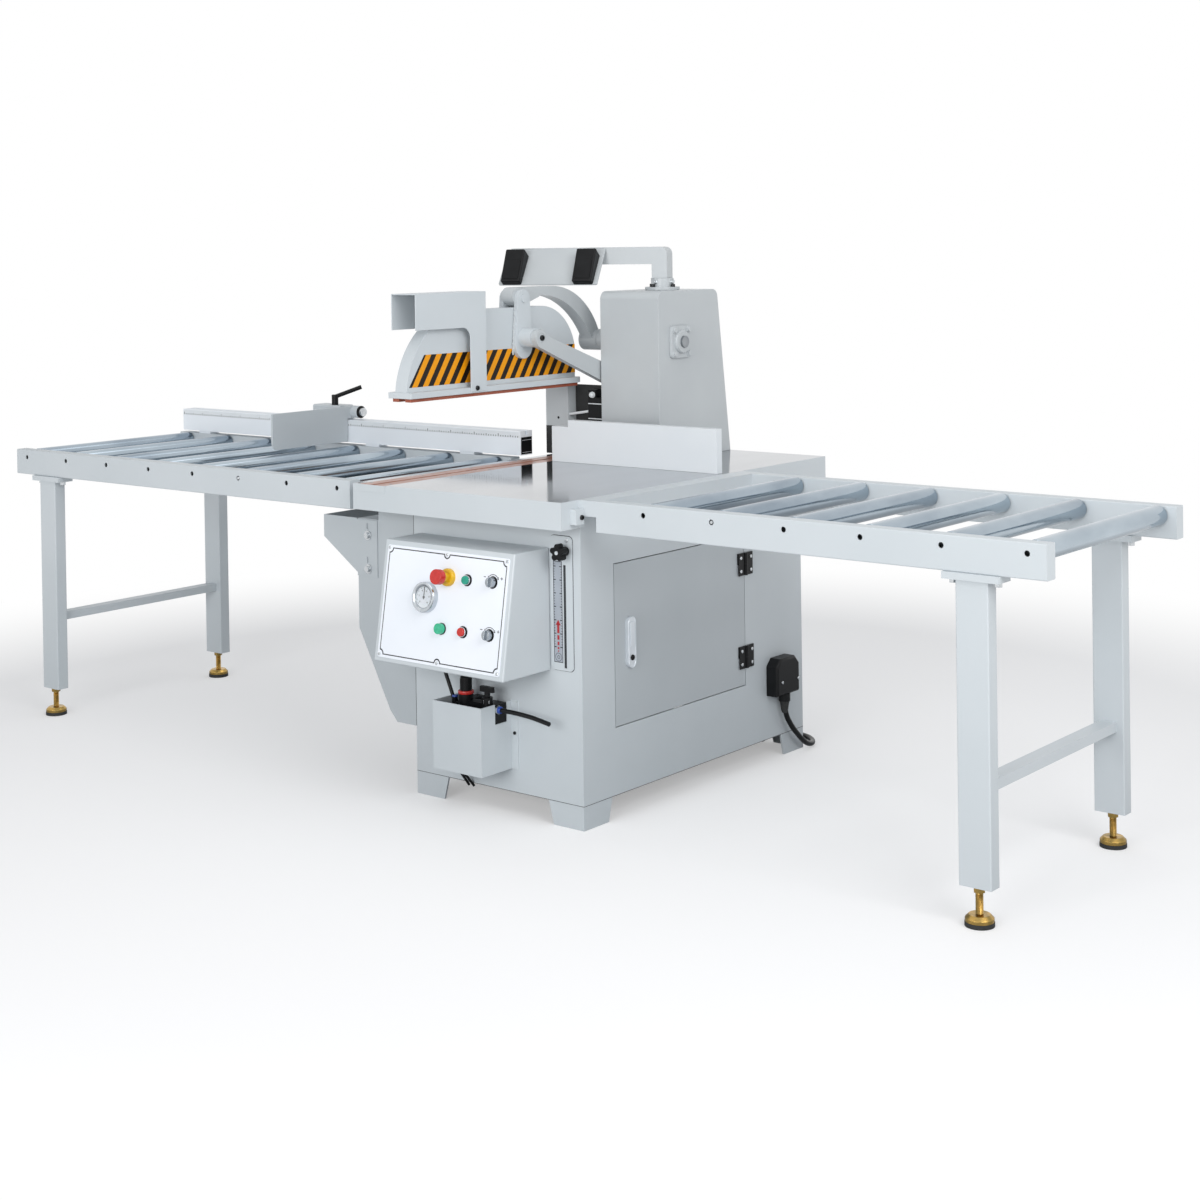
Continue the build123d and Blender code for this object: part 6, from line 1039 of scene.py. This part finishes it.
def studio():
    bm = bmesh.new()
    sunk = Matrix.Translation((0, 0, -FLOOR_DROP))
    bmesh.ops.create_grid(bm, x_segments=2, y_segments=2, size=FLOOR_HALF, matrix=sunk)
    mesh = bpy.data.meshes.new("studio_floor")
    bm.to_mesh(mesh)
    bm.free()
    mesh.materials.append(floor_finish())
    floor = bpy.data.objects.new("studio_floor", mesh)
    bpy.context.scene.collection.objects.link(floor)
    world = bpy.data.worlds.new("studio_world")
    bpy.context.scene.world = world
    world.use_nodes = True
    tree = world.node_tree
    tree.nodes.clear()
    path = add_node(tree, "ShaderNodeLightPath")
    seen = path.outputs["Is Camera Ray"]
    for kind in ("Is Glossy Ray", "Is Transmission Ray"):
        seen = add_node(
            tree, "ShaderNodeMath", {0: seen, 1: path.outputs[kind]}, operation="MAXIMUM"
        ).outputs[0]
    fill = add_node(tree, "ShaderNodeBackground", {"Color": linear("#F3F6FA"), "Strength": FILL_LEVEL})
    white = add_node(tree, "ShaderNodeBackground", {"Color": (1, 1, 1, 1), "Strength": 1.0})
    blend = add_node(tree, "ShaderNodeMixShader", {0: seen, 1: fill.outputs[0], 2: white.outputs[0]})
    add_node(tree, "ShaderNodeOutputWorld", {"Surface": blend.outputs[0]})


def softbox(name, at, towards, size, power):
    """A large soft lamp aimed at a point, in metres."""
    lamp = bpy.data.lights.new(name, "AREA")
    lamp.shape = "RECTANGLE"
    lamp.size, lamp.size_y = size
    lamp.energy = power
    holder = bpy.data.objects.new(name, lamp)
    bpy.context.scene.collection.objects.link(holder)
    holder.location = at
    holder.rotation_euler = (Vector(towards) - Vector(at)).to_track_quat("-Z", "Y").to_euler()


# The viewpoint: its place in metres, its angles in degrees and its lens in pixels of the picture
PHOTO_WIDTH = 1200.0
PHOTO_FOCUS = 1943.1
PHOTO_MIDDLE = (585.2, 264.6)
CAMERA_AT = (3.694, -4.318, 1.5214)
CAMERA_ANGLES = (39.242, -0.7, -0.828)
SENSOR = 36.0


def photo_camera():
    """The photograph's own viewpoint, with its lens raised as a product photographer does."""
    yaw, pitch, roll = (math.radians(angle) for angle in CAMERA_ANGLES)
    forward = Vector((-math.sin(yaw) * math.cos(pitch), math.cos(yaw) * math.cos(pitch), math.sin(pitch)))
    right = Vector((math.cos(yaw), math.sin(yaw), 0))
    up = right.cross(forward)
    across = right * math.cos(roll) + up * math.sin(roll)
    rise = up * math.cos(roll) - right * math.sin(roll)
    lens = bpy.data.cameras.new("photo_camera")
    lens.sensor_width = SENSOR
    lens.lens = SENSOR * PHOTO_FOCUS / PHOTO_WIDTH
    lens.shift_x = (PHOTO_WIDTH / 2 - PHOTO_MIDDLE[0]) / PHOTO_WIDTH
    lens.shift_y = (PHOTO_MIDDLE[1] - PHOTO_WIDTH / 2) / PHOTO_WIDTH
    lens.clip_end = 100
    camera = bpy.data.objects.new("photo_camera", lens)
    bpy.context.scene.collection.objects.link(camera)
    turn = Matrix((across, rise, -forward)).transposed().to_4x4()
    camera.matrix_world = Matrix.Translation(CAMERA_AT) @ turn
    bpy.context.scene.camera = camera


studio()
softbox("key_softbox", (1.2, -6.0, 1.9), (0, 0, 0.7), (3.5, 2.4), 160)
softbox("side_softbox", (4.6, -1.8, 3.2), (0, -0.1, 0.9), (3.0, 2.4), 115)
softbox("top_softbox", (0.5, 0.5, 5.0), (0, 0, 0.8), (5.0, 3.0), 40)
photo_camera()
bpy.context.scene.view_settings.view_transform = "Standard"
